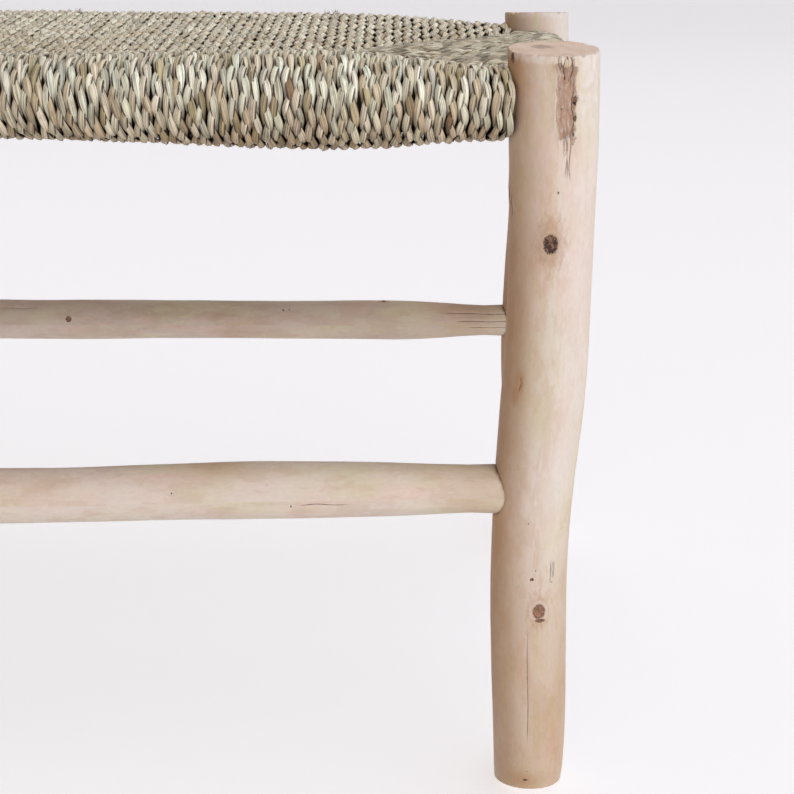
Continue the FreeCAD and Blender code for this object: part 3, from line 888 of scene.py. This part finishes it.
def saw_leg(points, places, shares, reach, turns, toe, top, seed):
    """Lifts a leg's skin over its worn toe, tilts its sawn top, and roughens the top's rim and face."""
    height = places.max()

    def plane(slope_x, slope_y, base):
        return slope_x * points[:, :, X] + slope_y * points[:, :, Y] + base

    points[:, :, Z] += np.maximum(plane(*toe), 0) * (1 - smooth_step(0, TOE_ZONE, places))[:, None]
    points[:, :, Z] += (plane(*top) - height) * smooth_step(height - TOP_ZONE, height, places)[:, None]
    splinters = np.array([noise.noise((13 * math.cos(t) + seed, 13 * math.sin(t), seed)) for t in turns])
    splinters = 1.0 * MM * np.clip(1.8 * splinters - 0.25, -0.15, 1.0)
    rim = smooth_step(height - 3 * MM, height, places) * (shares > 0.9)
    points[:, :, Z] -= rim[:, None] * splinters[None, :]
    sawn = ((shares < 1) & (places > height / 2))[:, None]
    points[:, :, Z] += sawn * 0.25 * MM * noise_grid(reach.max(1) * 3, turns, 150.0, 3.0, seed + 5)


def pole_piece(name, axis, rows, segments, wood, materials, joints, top=None):
    """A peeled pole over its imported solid, with lumps, peel marks and the marks of its own bark and knots.
    A leg also has the plane of its sawn top."""
    places, shares, insets, sides = rows.T
    low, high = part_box(name)
    inside = np.clip(places, low[axis] + 2 * MM, high[axis] - 4 * MM)
    stations = np.linspace(inside.min(), inside.max(), POLE_STATIONS)
    centres, radii = measure_pole(name, axis, stations)
    centre = np.column_stack([np.interp(inside, stations, centres[:, i]) for i in range(3)])
    radius = np.interp(inside, stations, radii)
    centre[:, axis] = places
    turns = 2 * math.pi * np.arange(segments) / segments
    outward = outward_from(axis, turns, low.x > 0)
    seed = sum(map(ord, name)) % 97 + 0.37
    lumps = noise_grid(places, turns, 15.0, 1.1, seed)
    peel = noise_grid(places, turns, 30.0, 2.6, seed + 11)
    rough = noise_grid(places, turns, 260.0, 9.0, seed + 23)
    marked = MarkFields(places, turns, radius, rough)
    for kind, sizes in [*SEEN_MARKS.get(name, ()), *chance_marks(name, places.min(), places.max()), *joints]:
        getattr(marked, "add_" + kind)(**sizes)
    fields = marked.fields
    relief = marked.relief + wood.lumps * lumps + wood.peel_marks * peel + 0.04 * MM * rough
    reach = (radius - insets)[:, None] * shares[:, None] + relief * sides[:, None]
    points = centre[:, None, :] + outward[None, :, :] * reach[:, :, None]
    if top is None:
        # A stretcher gets painted shade in the crease where it meets a leg.
        fields["joint"] = np.maximum(fields["joint"], leg_creases(points, high.z))
    else:
        saw_leg(points, places, shares, reach, turns, toe_plane(name), top, seed)
        # Painted highlight: the wood is made paler along the rim of the sawn top.
        rim_highlight = smooth_step(places.max() - 5 * MM, places.max() - 1 * MM, places)
        fields["tone_mark"] -= rim_highlight[:, None] * (0.7 + rough)

    def flat(values):
        """One value for each point: the two closing points once, the rings in full."""
        return np.concatenate([values[:1, 0], values[1:-1].reshape(-1, *values.shape[2:]), values[-1:, 0]])

    faces, face_rows = grid_faces(len(rows), segments)
    flips = np.cross(outward[0], outward[1])[axis] < 0
    faces = [tuple(reversed(face)) for face in faces] if flips else faces
    mesh = new_piece("peeled_" + name, flat(points), faces, name).data
    for field, values in fields.items():
        set_attribute(mesh, field, flat(values))
    set_attribute(mesh, "ring", flat(reach))
    scar = np.hypot(*(flat(points)[:, :2] - centre[-1, :2] - SCAR_PLACE).T) / SCAR_RADIUS
    set_attribute(mesh, "scar", np.clip(1 - 0.5 * scar, 0, 1) if name == SCARRED_LEG else 0 * scar)
    set_attribute(mesh, "seed", np.full(len(mesh.vertices), seed))
    pole_map(mesh, places, segments, radius.mean())
    for material in materials:
        mesh.materials.append(material)
    sawn = [int(shares[row] < 1 or shares[row + 1] < 1) for row in face_rows]
    mesh.polygons.foreach_set("material_index", sawn)


def pole_map(mesh, places, segments, radius):
    """Lays the pole's side out flat: metres along it and metres round it."""
    ring = np.zeros(len(mesh.vertices), int)
    column = np.zeros(len(mesh.vertices), int)
    count = len(mesh.vertices) - 2
    ring[1:-1] = 1 + np.arange(count) // segments
    ring[-1] = len(places) - 1
    column[1:-1] = np.arange(count) % segments
    corners = np.zeros(len(mesh.loops), np.int64)
    mesh.loops.foreach_get("vertex_index", corners)
    starts = np.zeros(len(mesh.polygons), np.int64)
    totals = np.zeros(len(mesh.polygons), np.int64)
    mesh.polygons.foreach_get("loop_start", starts)
    mesh.polygons.foreach_get("loop_total", totals)
    polygon = np.repeat(np.arange(len(totals)), totals)
    col = column[corners].astype(float)
    highest = np.maximum.reduceat(col, starts)[polygon]
    col = np.where((highest == segments - 1) & (col == 0), segments, col)
    along = places[ring[corners]]
    around = col / segments * 2 * math.pi * radius
    layer = mesh.uv_layers.new(name="PoleMap")
    layer.data.foreach_set("uv", np.column_stack([along, around]).astype(np.float32).ravel())


# Rope seat

# Points round a leaf strip, from the middle of its hidden side, as shares of a turn
LEAF_TURNS = np.array([0.0, 0.2, 0.36, 0.5, 0.64, 0.8])
LEAF_WIDE = -np.sin(2 * math.pi * LEAF_TURNS)
LEAF_THICK = -np.cos(2 * math.pi * LEAF_TURNS)

# How the strands lie
JITTER = 0.2 * MM          # a strand sits up to this far from its even place on the rail
SLACK = 0.3 * MM           # and wraps its rail up to this much looser or tighter
CORNER_LIFT = 5.5 * MM     # short strands near a corner ride up over each other by this much
LIFT_ENDS = 65 * MM        # strands longer than this aren't lifted
LIFT_GROWS = 45 * MM       # the lift grows to its full height over this length
TUCK = 1.5 * MM            # a strand ends this far past the mitre
DIVE = 9 * MM              # and sinks to the seat's middle plane from this far before it
LEG_HUG = 2.0 * MM         # the last strands lean over to a leg by this much at most
RAIL_NUMBERS = 211.0       # the strands of one rail are numbered from this much above the last rail's

# Tufts of loose tips on the rear rim, where a new leaf was worked into the rope: places along the bench
TUFT_PLACES = (0.119, 0.316)
TUFT_REACH = 7 * MM
TUFT_TIPS = 7
TUFT_LIFT = 4 * MM


def seat_middle():
    """Height of the seat's middle plane, between its two layers of rope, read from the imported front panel."""
    tree = surface_of("seat_weave_front")
    spot = Vector((0.0, -2 * MM, 0.0))
    below = tree.ray_cast(spot, Vector((0, 0, 1)))[0]
    above = tree.ray_cast(spot + Vector((0, 0, 1)), Vector((0, 0, -1)))[0]
    return (below.z + above.z) / 2


def corner_posts():
    """Axis and radius of each leg at the height of the rails."""
    posts = {}
    for name in LEGS:
        low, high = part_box("rail_front")
        centres, radii = measure_pole(name, Z, [low.z - 0.03, high.z + 0.001])
        posts[name] = (centres.mean(0), radii.mean())
    return posts


def strand_section(radius, reach, end_high, end_low):
    """Side view of one strand about its rail: in from the seat's middle, over the rail, round it and back
    below. Gives distances from the rail towards the middle, heights over the rail, and where the upper run
    ends and the lower one starts."""
    reach = max(reach, 1.12 * radius)
    high = math.atan2(end_high, reach) + math.acos(min(1.0, radius / math.hypot(reach, end_high)))
    low = math.atan2(end_low, reach) - math.acos(min(1.0, radius / math.hypot(reach, end_low)))
    plane = (end_high + end_low) / 2

    def run(angle, end):
        leaves, start = radius * math.cos(angle), radius * math.sin(angle)
        across = np.arange(reach + TUCK, leaves, -1.0 * MM)
        height = start + (end - start) * (across - leaves) / (reach - leaves)
        sink = smooth_step(reach - DIVE, reach + TUCK, across)
        return across, height + (plane - height) * 0.85 * sink

    top_across, top_height = run(high, end_high)
    low_across, low_height = run(low, end_low)
    angles = np.linspace(high, 2 * math.pi + low, 40)
    across = np.concatenate([top_across, radius * np.cos(angles), low_across[::-1]])
    height = np.concatenate([top_height, radius * np.sin(angles), low_height[::-1]])
    return across, height, len(top_across), len(top_across) + len(angles)


def even_places(lengths, below_from, rope):
    """Distances along a strand for its rings, wider apart on the run below the seat."""
    total = lengths[-1]
    change = lengths[below_from - 1]
    upper = np.linspace(0, change, max(8, int(change / rope.row)))
    lower = np.linspace(change, total, max(4, int((total - change) / rope.row_below)))
    return np.concatenate([upper, lower[1:]])


class Strand:
    """Course of one strand: ring distances, middle line, and its directions outwards and sideways."""

    def __init__(self, section, to_world, rope, uneven, draw, row=None):
        across, height, top_end, below_from = section
        lengths = np.concatenate([[0], np.cumsum(np.hypot(np.diff(across), np.diff(height)))])
        self.rope = rope
        self.draw = draw
        self.places = even_places(lengths, below_from, rope)
        self.rim = int(np.searchsorted(self.places, lengths[top_end]))
        self.shift = draw.uniform(-50, 50)
        flat_run = np.minimum(lengths[top_end] - self.places, self.places)
        rise = smooth_step(4 * MM, 30 * MM, flat_run) * uneven * 1.6 * self.waver(24, 6.5, row)
        across = np.interp(self.places, lengths, across)
        height = np.interp(self.places, lengths, height) + rise
        self.path = to_world(across, height, rope.wander * 1.6 * self.waver(22, 0.5))
        tangent = np.gradient(self.path, axis=0)
        tangent /= np.linalg.norm(tangent, axis=1)[:, None]
        nought = np.zeros(1)
        rail = to_world(nought, nought, nought)
        flank = to_world(nought, nought, np.ones(1)) - rail
        normal = np.cross(flank / np.linalg.norm(flank), tangent)
        normal /= np.linalg.norm(normal, axis=1)[:, None]
        self.normal = normal * np.sign((normal * (self.path - rail)).sum())
        self.other = np.cross(tangent, self.normal)

    def waver(self, scale, level, row=None):
        """Smooth noise along the strand: its own, or one that it shares with the other strands of a panel."""
        second = self.shift if row is None else row
        return np.array([noise.noise((p * scale, second, level)) for p in self.places])

    def plait(self, pitch):
        """Leaf strips of the plait. Gives for each its rings of points, ring distances, depth of each point
        below the strand's outer side, its number, and the leaf's number and upward turn at each ring."""
        rope, places, normal, other = self.rope, self.places, self.normal, self.other
        swing_start = self.draw.uniform(0, 2 * math.pi)
        swings = places / (rope.plait * self.draw.uniform(0.85, 1.15)) + 0.16 * self.waver(30, 9.5)
        ends = smooth_step(-4 * MM, 9 * MM, np.minimum(places, places[-1] - places))
        core = rope.diameter / 2 - rope.leaf_rise - rope.leaf_thickness
        strips = []
        for ply in range(rope.plies):
            swing = swing_start + 2 * math.pi * (swings + ply / rope.plies) + 0.5 * self.waver(45, 14.5 + ply)
            over = np.sin(2 * swing)
            size = (1 + 0.3 * self.waver(70, 20.5 + ply)) * (0.45 + 0.55 * ends)
            size = size * (1 - rope.leaf_taper * (1 - over) / 2)
            tilt = (rope.leaf_tilt * np.sin(swing) + 0.25 * self.waver(60, 30.5 + ply))[:, None]
            up = normal * np.cos(tilt) + other * np.sin(tilt)
            flat = other * np.cos(tilt) - normal * np.sin(tilt)
            middle = self.path + normal * (core + rope.leaf_rise * over)[:, None]
            middle = middle + other * (rope.leaf_swing * pitch * np.sin(swing))[:, None]
            levels = 40.5 + 7 * ply + 1.7 * np.arange(len(LEAF_TURNS))
            ragged = np.column_stack([self.waver(90, level) for level in levels])
            reach = size[:, None] * (1 + 0.15 * ragged)
            wide = reach * LEAF_WIDE * rope.leaf_width * pitch
            rings = strip_rings(middle, wide, flat, reach * LEAF_THICK * rope.leaf_thickness, up)
            outer = ((rings - self.path[:, None, :]) * normal[:, None, :]).sum(2)
            # Depth of each point below the strand's outer side, which the rope's colour darkens as painted
            # shade.
            depth = np.clip(0.5 - outer / rope.diameter, 0, 1)
            strips.append((rings, places, depth, ply, np.floor(swing / math.pi + 0.25), normal[:, Z]))
        return strips

    def loose_tip(self, start, lift_by):
        """A leaf tip that has come loose from the strand's outer side and curls away from it."""
        draw, rope = self.draw, self.rope
        span = slice(start, start + draw.randint(5, 9))
        places, normal, other = self.places[span], self.normal[span], self.other[span]
        out = np.linspace(0, 1, len(places))[:, None]
        if draw.random() < 0.4:
            out = out[::-1]
        lift = rope.diameter / 2 - 0.7 * MM + draw.uniform(0.3, 1.0) * lift_by * out ** 2
        aside = draw.uniform(-1.2, 1.2) * MM + draw.uniform(-3.0, 3.0) * MM * out ** 1.5
        middle = self.path[span] + normal * lift + other * aside
        half = draw.uniform(0.5, 0.9) * MM * (1 - 0.85 * out)
        wide, thick = LEAF_WIDE * half, 0.4 * LEAF_THICK * half
        leaf = np.full(len(out), draw.uniform(0, 90))
        rings = strip_rings(middle, wide, other, thick, normal)
        return rings, places, 0 * wide, draw.randrange(rope.plies), leaf, normal[:, Z]

    def strips(self, pitch, tufted):
        """The plait and the loose tips near the seat's rim."""
        out = self.plait(pitch)
        if self.draw.random() < self.rope.loose_share:
            start = max(2, self.rim + self.draw.randint(-9, 12))
            out.append(self.loose_tip(start, self.rope.loose_lift))
        for _ in range(TUFT_TIPS if tufted else 0):
            start = self.rim + self.draw.randint(-7, 0)
            out.append(self.loose_tip(start, TUFT_LIFT))
        return out


def strip_rings(middle, wide, flat, thick, up):
    """Rings of points about a strip's middle line, from its widths and thicknesses and their directions."""
    rings = middle[:, None, :] + wide[:, :, None] * flat[:, None, :]
    return rings + thick[:, :, None] * up[:, None, :]


def strand_mesh(name, strips, rope):
    """One mesh of many leaf strips, with the rope's map, a flat layout for baking and the strips' numbers."""
    count = len(LEAF_TURNS)
    points, quads, caps, rope_uv, bake_uv, cap_uv, cap_bake = [], [], [], [], [], [], []
    fields = {"strand": [], "shade_depth": [], "leaf": [], "upward": []}
    base = 0
    longest = max(strip[1][-1] for strip in strips)
    step = np.arange(count)
    ahead = np.append(LEAF_TURNS[1:], 1.0)
    for index, (rings, places, shade_depth, ply, leaf, upward, strand) in enumerate(strips):
        rows = len(rings)
        points.append(rings.reshape(-1, 3))
        fields["strand"].append(np.full(rows * count, strand))
        fields["shade_depth"].append(shade_depth.ravel())
        fields["leaf"].append(np.repeat(leaf, count))
        fields["upward"].append(np.repeat(upward, count))
        first = base + (np.arange(rows - 1)[:, None] * count + step[None, :])
        second = base + (np.arange(rows - 1)[:, None] * count + (step[None, :] + 1) % count)
        quads.append(np.stack([first, second, second + count, first + count], -1).reshape(-1, 4))
        here, there = places[:-1, None] + 0 * step, places[1:, None] + 0 * step
        left, right = 0 * here + LEAF_TURNS, 0 * here + ahead
        along = np.stack([here, here, there, there], -1)
        turn = np.stack([left, right, right, left], -1)
        rope_uv.append(np.stack([along, (ply + turn) / rope.plies], -1).reshape(-1, 2))
        strip_place = (index + 0.06 + 0.88 * turn) / len(strips)
        bake_uv.append(np.stack([0.004 + 0.988 * along / longest, strip_place], -1).reshape(-1, 2))
        for ring, order, place in ((0, step[::-1], places[0]), (rows - 1, step, places[-1])):
            caps.append(base + ring * count + order)
            circle = 2 * math.pi * order / count
            spot = np.column_stack([np.cos(circle), np.sin(circle)]) * 0.0012
            cap_uv.append(np.column_stack([np.full(count, place), (ply + LEAF_TURNS[order]) / rope.plies]))
            side = 0.0015 if ring == 0 else 0.9985
            cap_bake.append(spot + (side, (index + 0.5) / len(strips)))
        base += rows * count
    mesh = bpy.data.meshes.new(name)
    fill_mesh(mesh, np.concatenate(points), np.concatenate(quads), np.array(caps))
    for layer, sides, ends in (("RopeMap", rope_uv, cap_uv), ("OFBake", bake_uv, cap_bake)):
        values = np.concatenate([np.concatenate(sides), np.concatenate(ends)]).astype(np.float32)
        mesh.uv_layers.new(name=layer).data.foreach_set("uv", values.ravel())
    for field, values in fields.items():
        set_attribute(mesh, field, np.concatenate(values))
    return mesh


def fill_mesh(mesh, points, quads, caps):
    """Writes points, four-cornered faces and many-cornered end faces into an empty mesh."""
    corners = np.concatenate([quads.ravel(), caps.ravel()]).astype(np.int32)
    sizes = np.concatenate([np.full(len(quads), 4), np.full(len(caps), caps.shape[1])])
    starts = np.concatenate([[0], np.cumsum(sizes)[:-1]]).astype(np.int32)
    mesh.vertices.add(len(points))
    mesh.vertices.foreach_set("co", points.astype(np.float32).ravel())
    mesh.loops.add(len(corners))
    mesh.loops.foreach_set("vertex_index", corners)
    mesh.polygons.add(len(sizes))
    mesh.polygons.foreach_set("loop_start", starts)
    mesh.update(calc_edges=True)
    mesh.validate()
    mesh.shade_smooth()


class SeatPanel:
    """Where the strands of one rail run: the rail's line and thickness, and the mitres that they end at."""

    def __init__(self, rail, posts, rope):
        self.pitch = rope.rear_pitch if rail == "rail_rear" else rope.pitch
        self.axis = X if rail in ("rail_front", "rail_rear") else Y
        self.cross = Y if self.axis == X else X
        low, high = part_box(rail)
        self.inward = -1 if (low[self.cross] + high[self.cross]) > 0 else 1
        self.stations = np.linspace(low[self.axis] + RAIL_END, high[self.axis] - RAIL_END, RAIL_STATIONS)
        self.centres, self.radii = measure_pole(rail, self.axis, self.stations)
        end_names = [name for name in LEGS if rail.split("_")[1] in name]
        self.ends = sorted((posts[name] for name in end_names), key=lambda post: post[0][self.axis])
        (first, first_radius), (last, last_radius) = self.ends
        self.first = first[self.axis] + first_radius + rope.diameter / 2
        self.last = last[self.axis] - last_radius - rope.diameter / 2
        apexes = (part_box("seat_weave_left")[1].x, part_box("seat_weave_right")[0].x)
        if self.axis == X:
            between = [(apexes[0], 0.0), (apexes[1], 0.0)]
        else:
            between = [(0.0, apexes[0] if low.x < 0 else apexes[1])]
        corners = [(post[self.axis], post[self.cross]) for post in (first, last)]
        self.mitre = np.array([corners[0], *between, corners[1]])

    def hug(self, place, across, rope):
        """How far a strand near a leg leans over to lie against the leg's round side."""
        shift = np.zeros(len(across))
        for (centre, radius), edge, side in zip(self.ends, (self.first, self.last), (-1, 1)):
            near = np.clip(1 - abs(place - edge) / (5 * rope.pitch), 0, 1)
            clear = radius + rope.diameter / 2
            round_side = np.sqrt(np.maximum(clear ** 2 - (across - centre[self.cross]) ** 2, 0))
            shift += side * near * np.clip(clear - round_side, 0, LEG_HUG)
        return shift

    def strips(self, place, middle, rope, draw):
        """Leaf strips of the strand at one place along the rail."""
        across = np.interp(place, self.stations, self.centres[:, self.cross])
        level = np.interp(place, self.stations, self.centres[:, Z])
        thick = np.interp(place, self.stations, self.radii)
        reach = (np.interp(place, self.mitre[:, 0], self.mitre[:, 1]) - across) * self.inward
        half = rope.diameter / 2
        radius = thick + half + rope.bulge + draw.uniform(-SLACK, SLACK)
        lift = CORNER_LIFT * np.clip((LIFT_ENDS - reach) / LIFT_GROWS, 0, 1)
        section = strand_section(radius, reach, middle + half + lift - level, middle - half - level)

        def to_world(a, h, sideways):
            out = np.zeros((len(a), 3))
            out[:, self.cross] = across + self.inward * a
            hug = self.hug(place, out[:, self.cross], rope) * smooth_step(0, 0.8 * radius, -a)
            out[:, self.axis] = place + sideways + hug
            out[:, Z] = level + h
            return out

        if self.axis == Y:
            strand = Strand(section, to_world, rope, rope.end_unevenness, draw, place * 45)
            return strand.strips(self.pitch, False)
        tufted = self.inward < 0 and any(abs(place - tuft) < TUFT_REACH for tuft in TUFT_PLACES)
        return Strand(section, to_world, rope, rope.unevenness, draw).strips(self.pitch, tufted)


def make_seat(rope):
    """Every strand of the four panels, in pieces of some tens of strands."""
    leaf = palm_rope("palm_leaf_rope", rope)
    middle = seat_middle()
    posts = corner_posts()
    for rail in RAILS:
        panel = SeatPanel(rail, posts, rope)
        draw = random.Random(rail)
        count = int((panel.last - panel.first) / panel.pitch) + 1
        places = np.linspace(panel.first, panel.last, count)
        strands = []
        for index, place in enumerate(places):
            place += draw.uniform(-JITTER, JITTER)
            number = index + RAILS.index(rail) * RAIL_NUMBERS
            strands.append([(*strip, number) for strip in panel.strips(place, middle, rope, draw)])
        node = rail.replace("rail", "seat_weave")
        pieces = max(1, round(count / rope.strands_in_piece))
        for part, group in enumerate(np.array_split(np.arange(count), pieces)):
            name = f"{node}_ropes_{part + 1}"
            strips = [strip for i in group for strip in strands[i]]
            piece = adopt(name, strand_mesh(name, strips, rope), node)
            piece.data.materials.append(leaf)


# Operators

def paint(node, material):
    """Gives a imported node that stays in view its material."""
    mesh = frame["nodes"][node].data
    mesh.materials.clear()
    mesh.materials.append(material)


class BENCH_OT_legs(bpy.types.Operator):
    """Four peeled legs with sawn tops, knots, cracks and bark"""
    bl_idname = "bench.legs"
    bl_label = "Legs"

    def execute(self, context):
        wood = context.scene.bench_wood
        peeled = peeled_wood("peeled_leg_wood", wood, wood.pale, 0.5, 0.8)
        sawn = sawn_wood("sawn_leg_wood", wood)
        for name in LEGS:
            top = top_face(name)
            centre = measure_pole(name, Z, [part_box(name)[1].z - 0.01])[0][0]
            height = top @ (centre[X], centre[Y], 1.0)
            rows = leg_rows(height, wood)
            pole_piece(name, Z, rows, wood.leg_segments, wood, (peeled, sawn), leg_joints(name), top)
        return {"FINISHED"}


class BENCH_OT_stretchers(bpy.types.Operator):
    """Two long and two end stretchers"""
    bl_idname = "bench.stretchers"
    bl_label = "Stretchers"

    def execute(self, context):
        wood = context.scene.bench_wood
        sawn = sawn_wood("sawn_stretcher_wood", wood)
        pale = peeled_wood("peeled_stretcher_wood", wood, blended(wood.pale, wood.bleached, 0.35), 0.3, 0.6)
        # The rear stretcher's darker grey is weathering plus painted shade.
        grey = peeled_wood("weathered_shaded_stretcher_wood", wood, wood.grey, 0.35, 0.25)
        for name in LONG_STRETCHERS + END_STRETCHERS:
            axis = X if name in LONG_STRETCHERS else Y
            low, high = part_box(name)
            rows = bar_rows(low[axis] + BAR_HIDDEN, high[axis] - BAR_HIDDEN, wood)
            skin = grey if name == "stretcher_rear" else pale
            pole_piece(name, axis, rows, wood.bar_segments, wood, (skin, sawn), [])
        return {"FINISHED"}


class BENCH_OT_rails(bpy.types.Operator):
    """Dark wood of the four rails inside the weave, painted shade between the strands"""
    bl_idname = "bench.rails"
    bl_label = "Rails"

    def execute(self, context):
        material = shaded_rail_wood("painted_shade_rail_wood", context.scene.bench_wood)
        for name in RAILS:
            paint(name, material)
        return {"FINISHED"}


class BENCH_OT_tacks(bpy.types.Operator):
    """Steel of the tacks that hold the rope's ends"""
    bl_idname = "bench.tacks"
    bl_label = "Tacks"

    def execute(self, context):
        paint("rope_tacks", tack_steel("tack_steel"))
        return {"FINISHED"}


class BENCH_OT_seat(bpy.types.Operator):
    """Seat of plaited palm-leaf rope, strand by strand"""
    bl_idname = "bench.seat"
    bl_label = "Rope seat"

    def execute(self, context):
        make_seat(context.scene.bench_rope)
        return {"FINISHED"}


class BENCH_OT_stage(bpy.types.Operator):
    """Pale floor, soft light and the camera"""
    bl_idname = "bench.stage"
    bl_label = "Stage"

    def execute(self, context):
        stage = context.scene.bench_stage
        make_floor(stage)
        make_lights(context.scene, stage)
        make_camera(context.scene, stage)
        return {"FINISHED"}


# Stage
FLOOR_REACH = 6.0          # metres of flat floor before and behind the bench
FLOOR_SWEEP = 3.0          # radius of the sweep up to the backdrop
BACKDROP = 9.0             # height of the backdrop
FLOOR_HALF = 12.0          # half of the floor's width
KEY_PLACE = (1.7, -2.2, 1.6)
KEY_TARGET = (0.4, 0.0, 0.3)
KEY_SIZE = 1.6
KEY_TINT = (1.0, 0.99, 1.0)


def make_floor(stage):
    """A floor that sweeps up into a backdrop far behind the bench."""
    profile = [(-FLOOR_REACH, 0.0), (FLOOR_REACH, 0.0)]
    for angle in np.linspace(0, math.pi / 2, 24)[1:]:
        profile.append((FLOOR_REACH + FLOOR_SWEEP * math.sin(angle), FLOOR_SWEEP * (1 - math.cos(angle))))
    profile.append((FLOOR_REACH + FLOOR_SWEEP, BACKDROP))
    points = [(x, y, z) for y, z in profile for x in (-FLOOR_HALF, FLOOR_HALF)]
    faces = [(2 * i, 2 * i + 1, 2 * i + 3, 2 * i + 2) for i in range(len(profile) - 1)]
    mesh = bpy.data.meshes.new("studio_floor")
    mesh.from_pydata(points, [], faces)
    mesh.shade_smooth()
    mesh.materials.append(studio_floor("studio_floor", stage.floor, stage.glow))
    sheet = bpy.data.objects.new("studio_floor", mesh)
    bpy.context.scene.collection.objects.link(sheet)


def add_key_lamp(scene, power):
    """A large lamp that lights the bench and leaves the floor, and so its shadow there, alone."""
    lamp = bpy.data.lights.new("key_lamp", "AREA")
    lamp.shape = "RECTANGLE"
    lamp.size = lamp.size_y = KEY_SIZE
    lamp.energy = power
    lamp.color = KEY_TINT
    holder = bpy.data.objects.new("key_lamp", lamp)
    holder.location = KEY_PLACE
    holder.rotation_euler = (Vector(KEY_TARGET) - Vector(KEY_PLACE)).to_track_quat("-Z", "Y").to_euler()
    scene.collection.objects.link(holder)
    lit = bpy.data.collections.new("key_lamp_lights")
    for item in scene.objects:
        if item.type == "MESH" and item.name != "studio_floor":
            lit.objects.link(item)
    holder.light_linking.receiver_collection = lit


def make_lights(scene, stage):
    """Light from all round that is brighter on the right, and one large lamp."""
    world = bpy.data.worlds.new("studio")
    world.use_nodes = True
    nodes, links = world.node_tree.nodes, world.node_tree.links
    parts = nodes.new("ShaderNodeSeparateXYZ")
    links.new(nodes.new("ShaderNodeTexCoord").outputs["Generated"], parts.inputs["Vector"])
    side = nodes.new("ShaderNodeMapRange")
    side.inputs["From Min"].default_value = -0.7
    side.inputs["From Max"].default_value = 0.7
    links.new(parts.outputs["X"], side.inputs["Value"])
    ramp = nodes.new("ShaderNodeValToRGB")
    ramp.color_ramp.elements[0].color = (*stage.dim_side, 1)
    ramp.color_ramp.elements[1].color = (*stage.bright_side, 1)
    links.new(side.outputs["Result"], ramp.inputs["Fac"])
    back = nodes["Background"]
    back.inputs["Strength"].default_value = stage.room
    links.new(ramp.outputs["Color"], back.inputs["Color"])
    scene.world = world
    add_key_lamp(scene, stage.key)
    scene.view_settings.view_transform = "Standard"


def make_camera(scene, stage):
    """The camera at the photograph's viewing angle."""
    camera = bpy.data.cameras.new("camera")
    camera.lens = stage.lens
    camera.sensor_width = 36.0
    camera.clip_start, camera.clip_end = 0.01, 100.0
    holder = bpy.data.objects.new("camera", camera)
    holder.location = stage.camera_place
    holder.rotation_euler = (stage.camera_tilt, 0.0, 0.0)
    scene.collection.objects.link(holder)
    scene.camera = holder


OPERATORS = (BENCH_OT_legs, BENCH_OT_stretchers, BENCH_OT_rails, BENCH_OT_tacks, BENCH_OT_seat,
             BENCH_OT_stage)


class BENCH_PT_panel(bpy.types.Panel):
    """Lists the bench's settings and the steps that dress it"""
    bl_idname = "BENCH_PT_panel"
    bl_label = "Rope seat bench"
    bl_space_type = "VIEW_3D"
    bl_region_type = "UI"
    bl_category = "Bench"

    def draw(self, context):
        for settings in (context.scene.bench_wood, context.scene.bench_rope, context.scene.bench_stage):
            box = self.layout.box()
            for name in settings.__annotations__:
                box.prop(settings, name)
        for operator in OPERATORS:
            self.layout.operator(operator.bl_idname)


SETTINGS = {"bench_wood": BenchWoodSettings, "bench_rope": BenchRopeSettings,
            "bench_stage": BenchStageSettings}
CLASSES = (*SETTINGS.values(), *OPERATORS, BENCH_PT_panel)


def register():
    for item in CLASSES:
        bpy.utils.register_class(item)
    for name, kind in SETTINGS.items():
        setattr(bpy.types.Scene, name, PointerProperty(type=kind))


def unregister():
    for name in SETTINGS:
        delattr(bpy.types.Scene, name)
    for item in reversed(CLASSES):
        bpy.utils.unregister_class(item)


def main():
    register()
    bpy.ops.bench.legs()
    bpy.ops.bench.stretchers()
    bpy.ops.bench.rails()
    bpy.ops.bench.tacks()
    bpy.ops.bench.seat()
    bpy.ops.bench.stage()


if __name__ == "__main__":
    main()
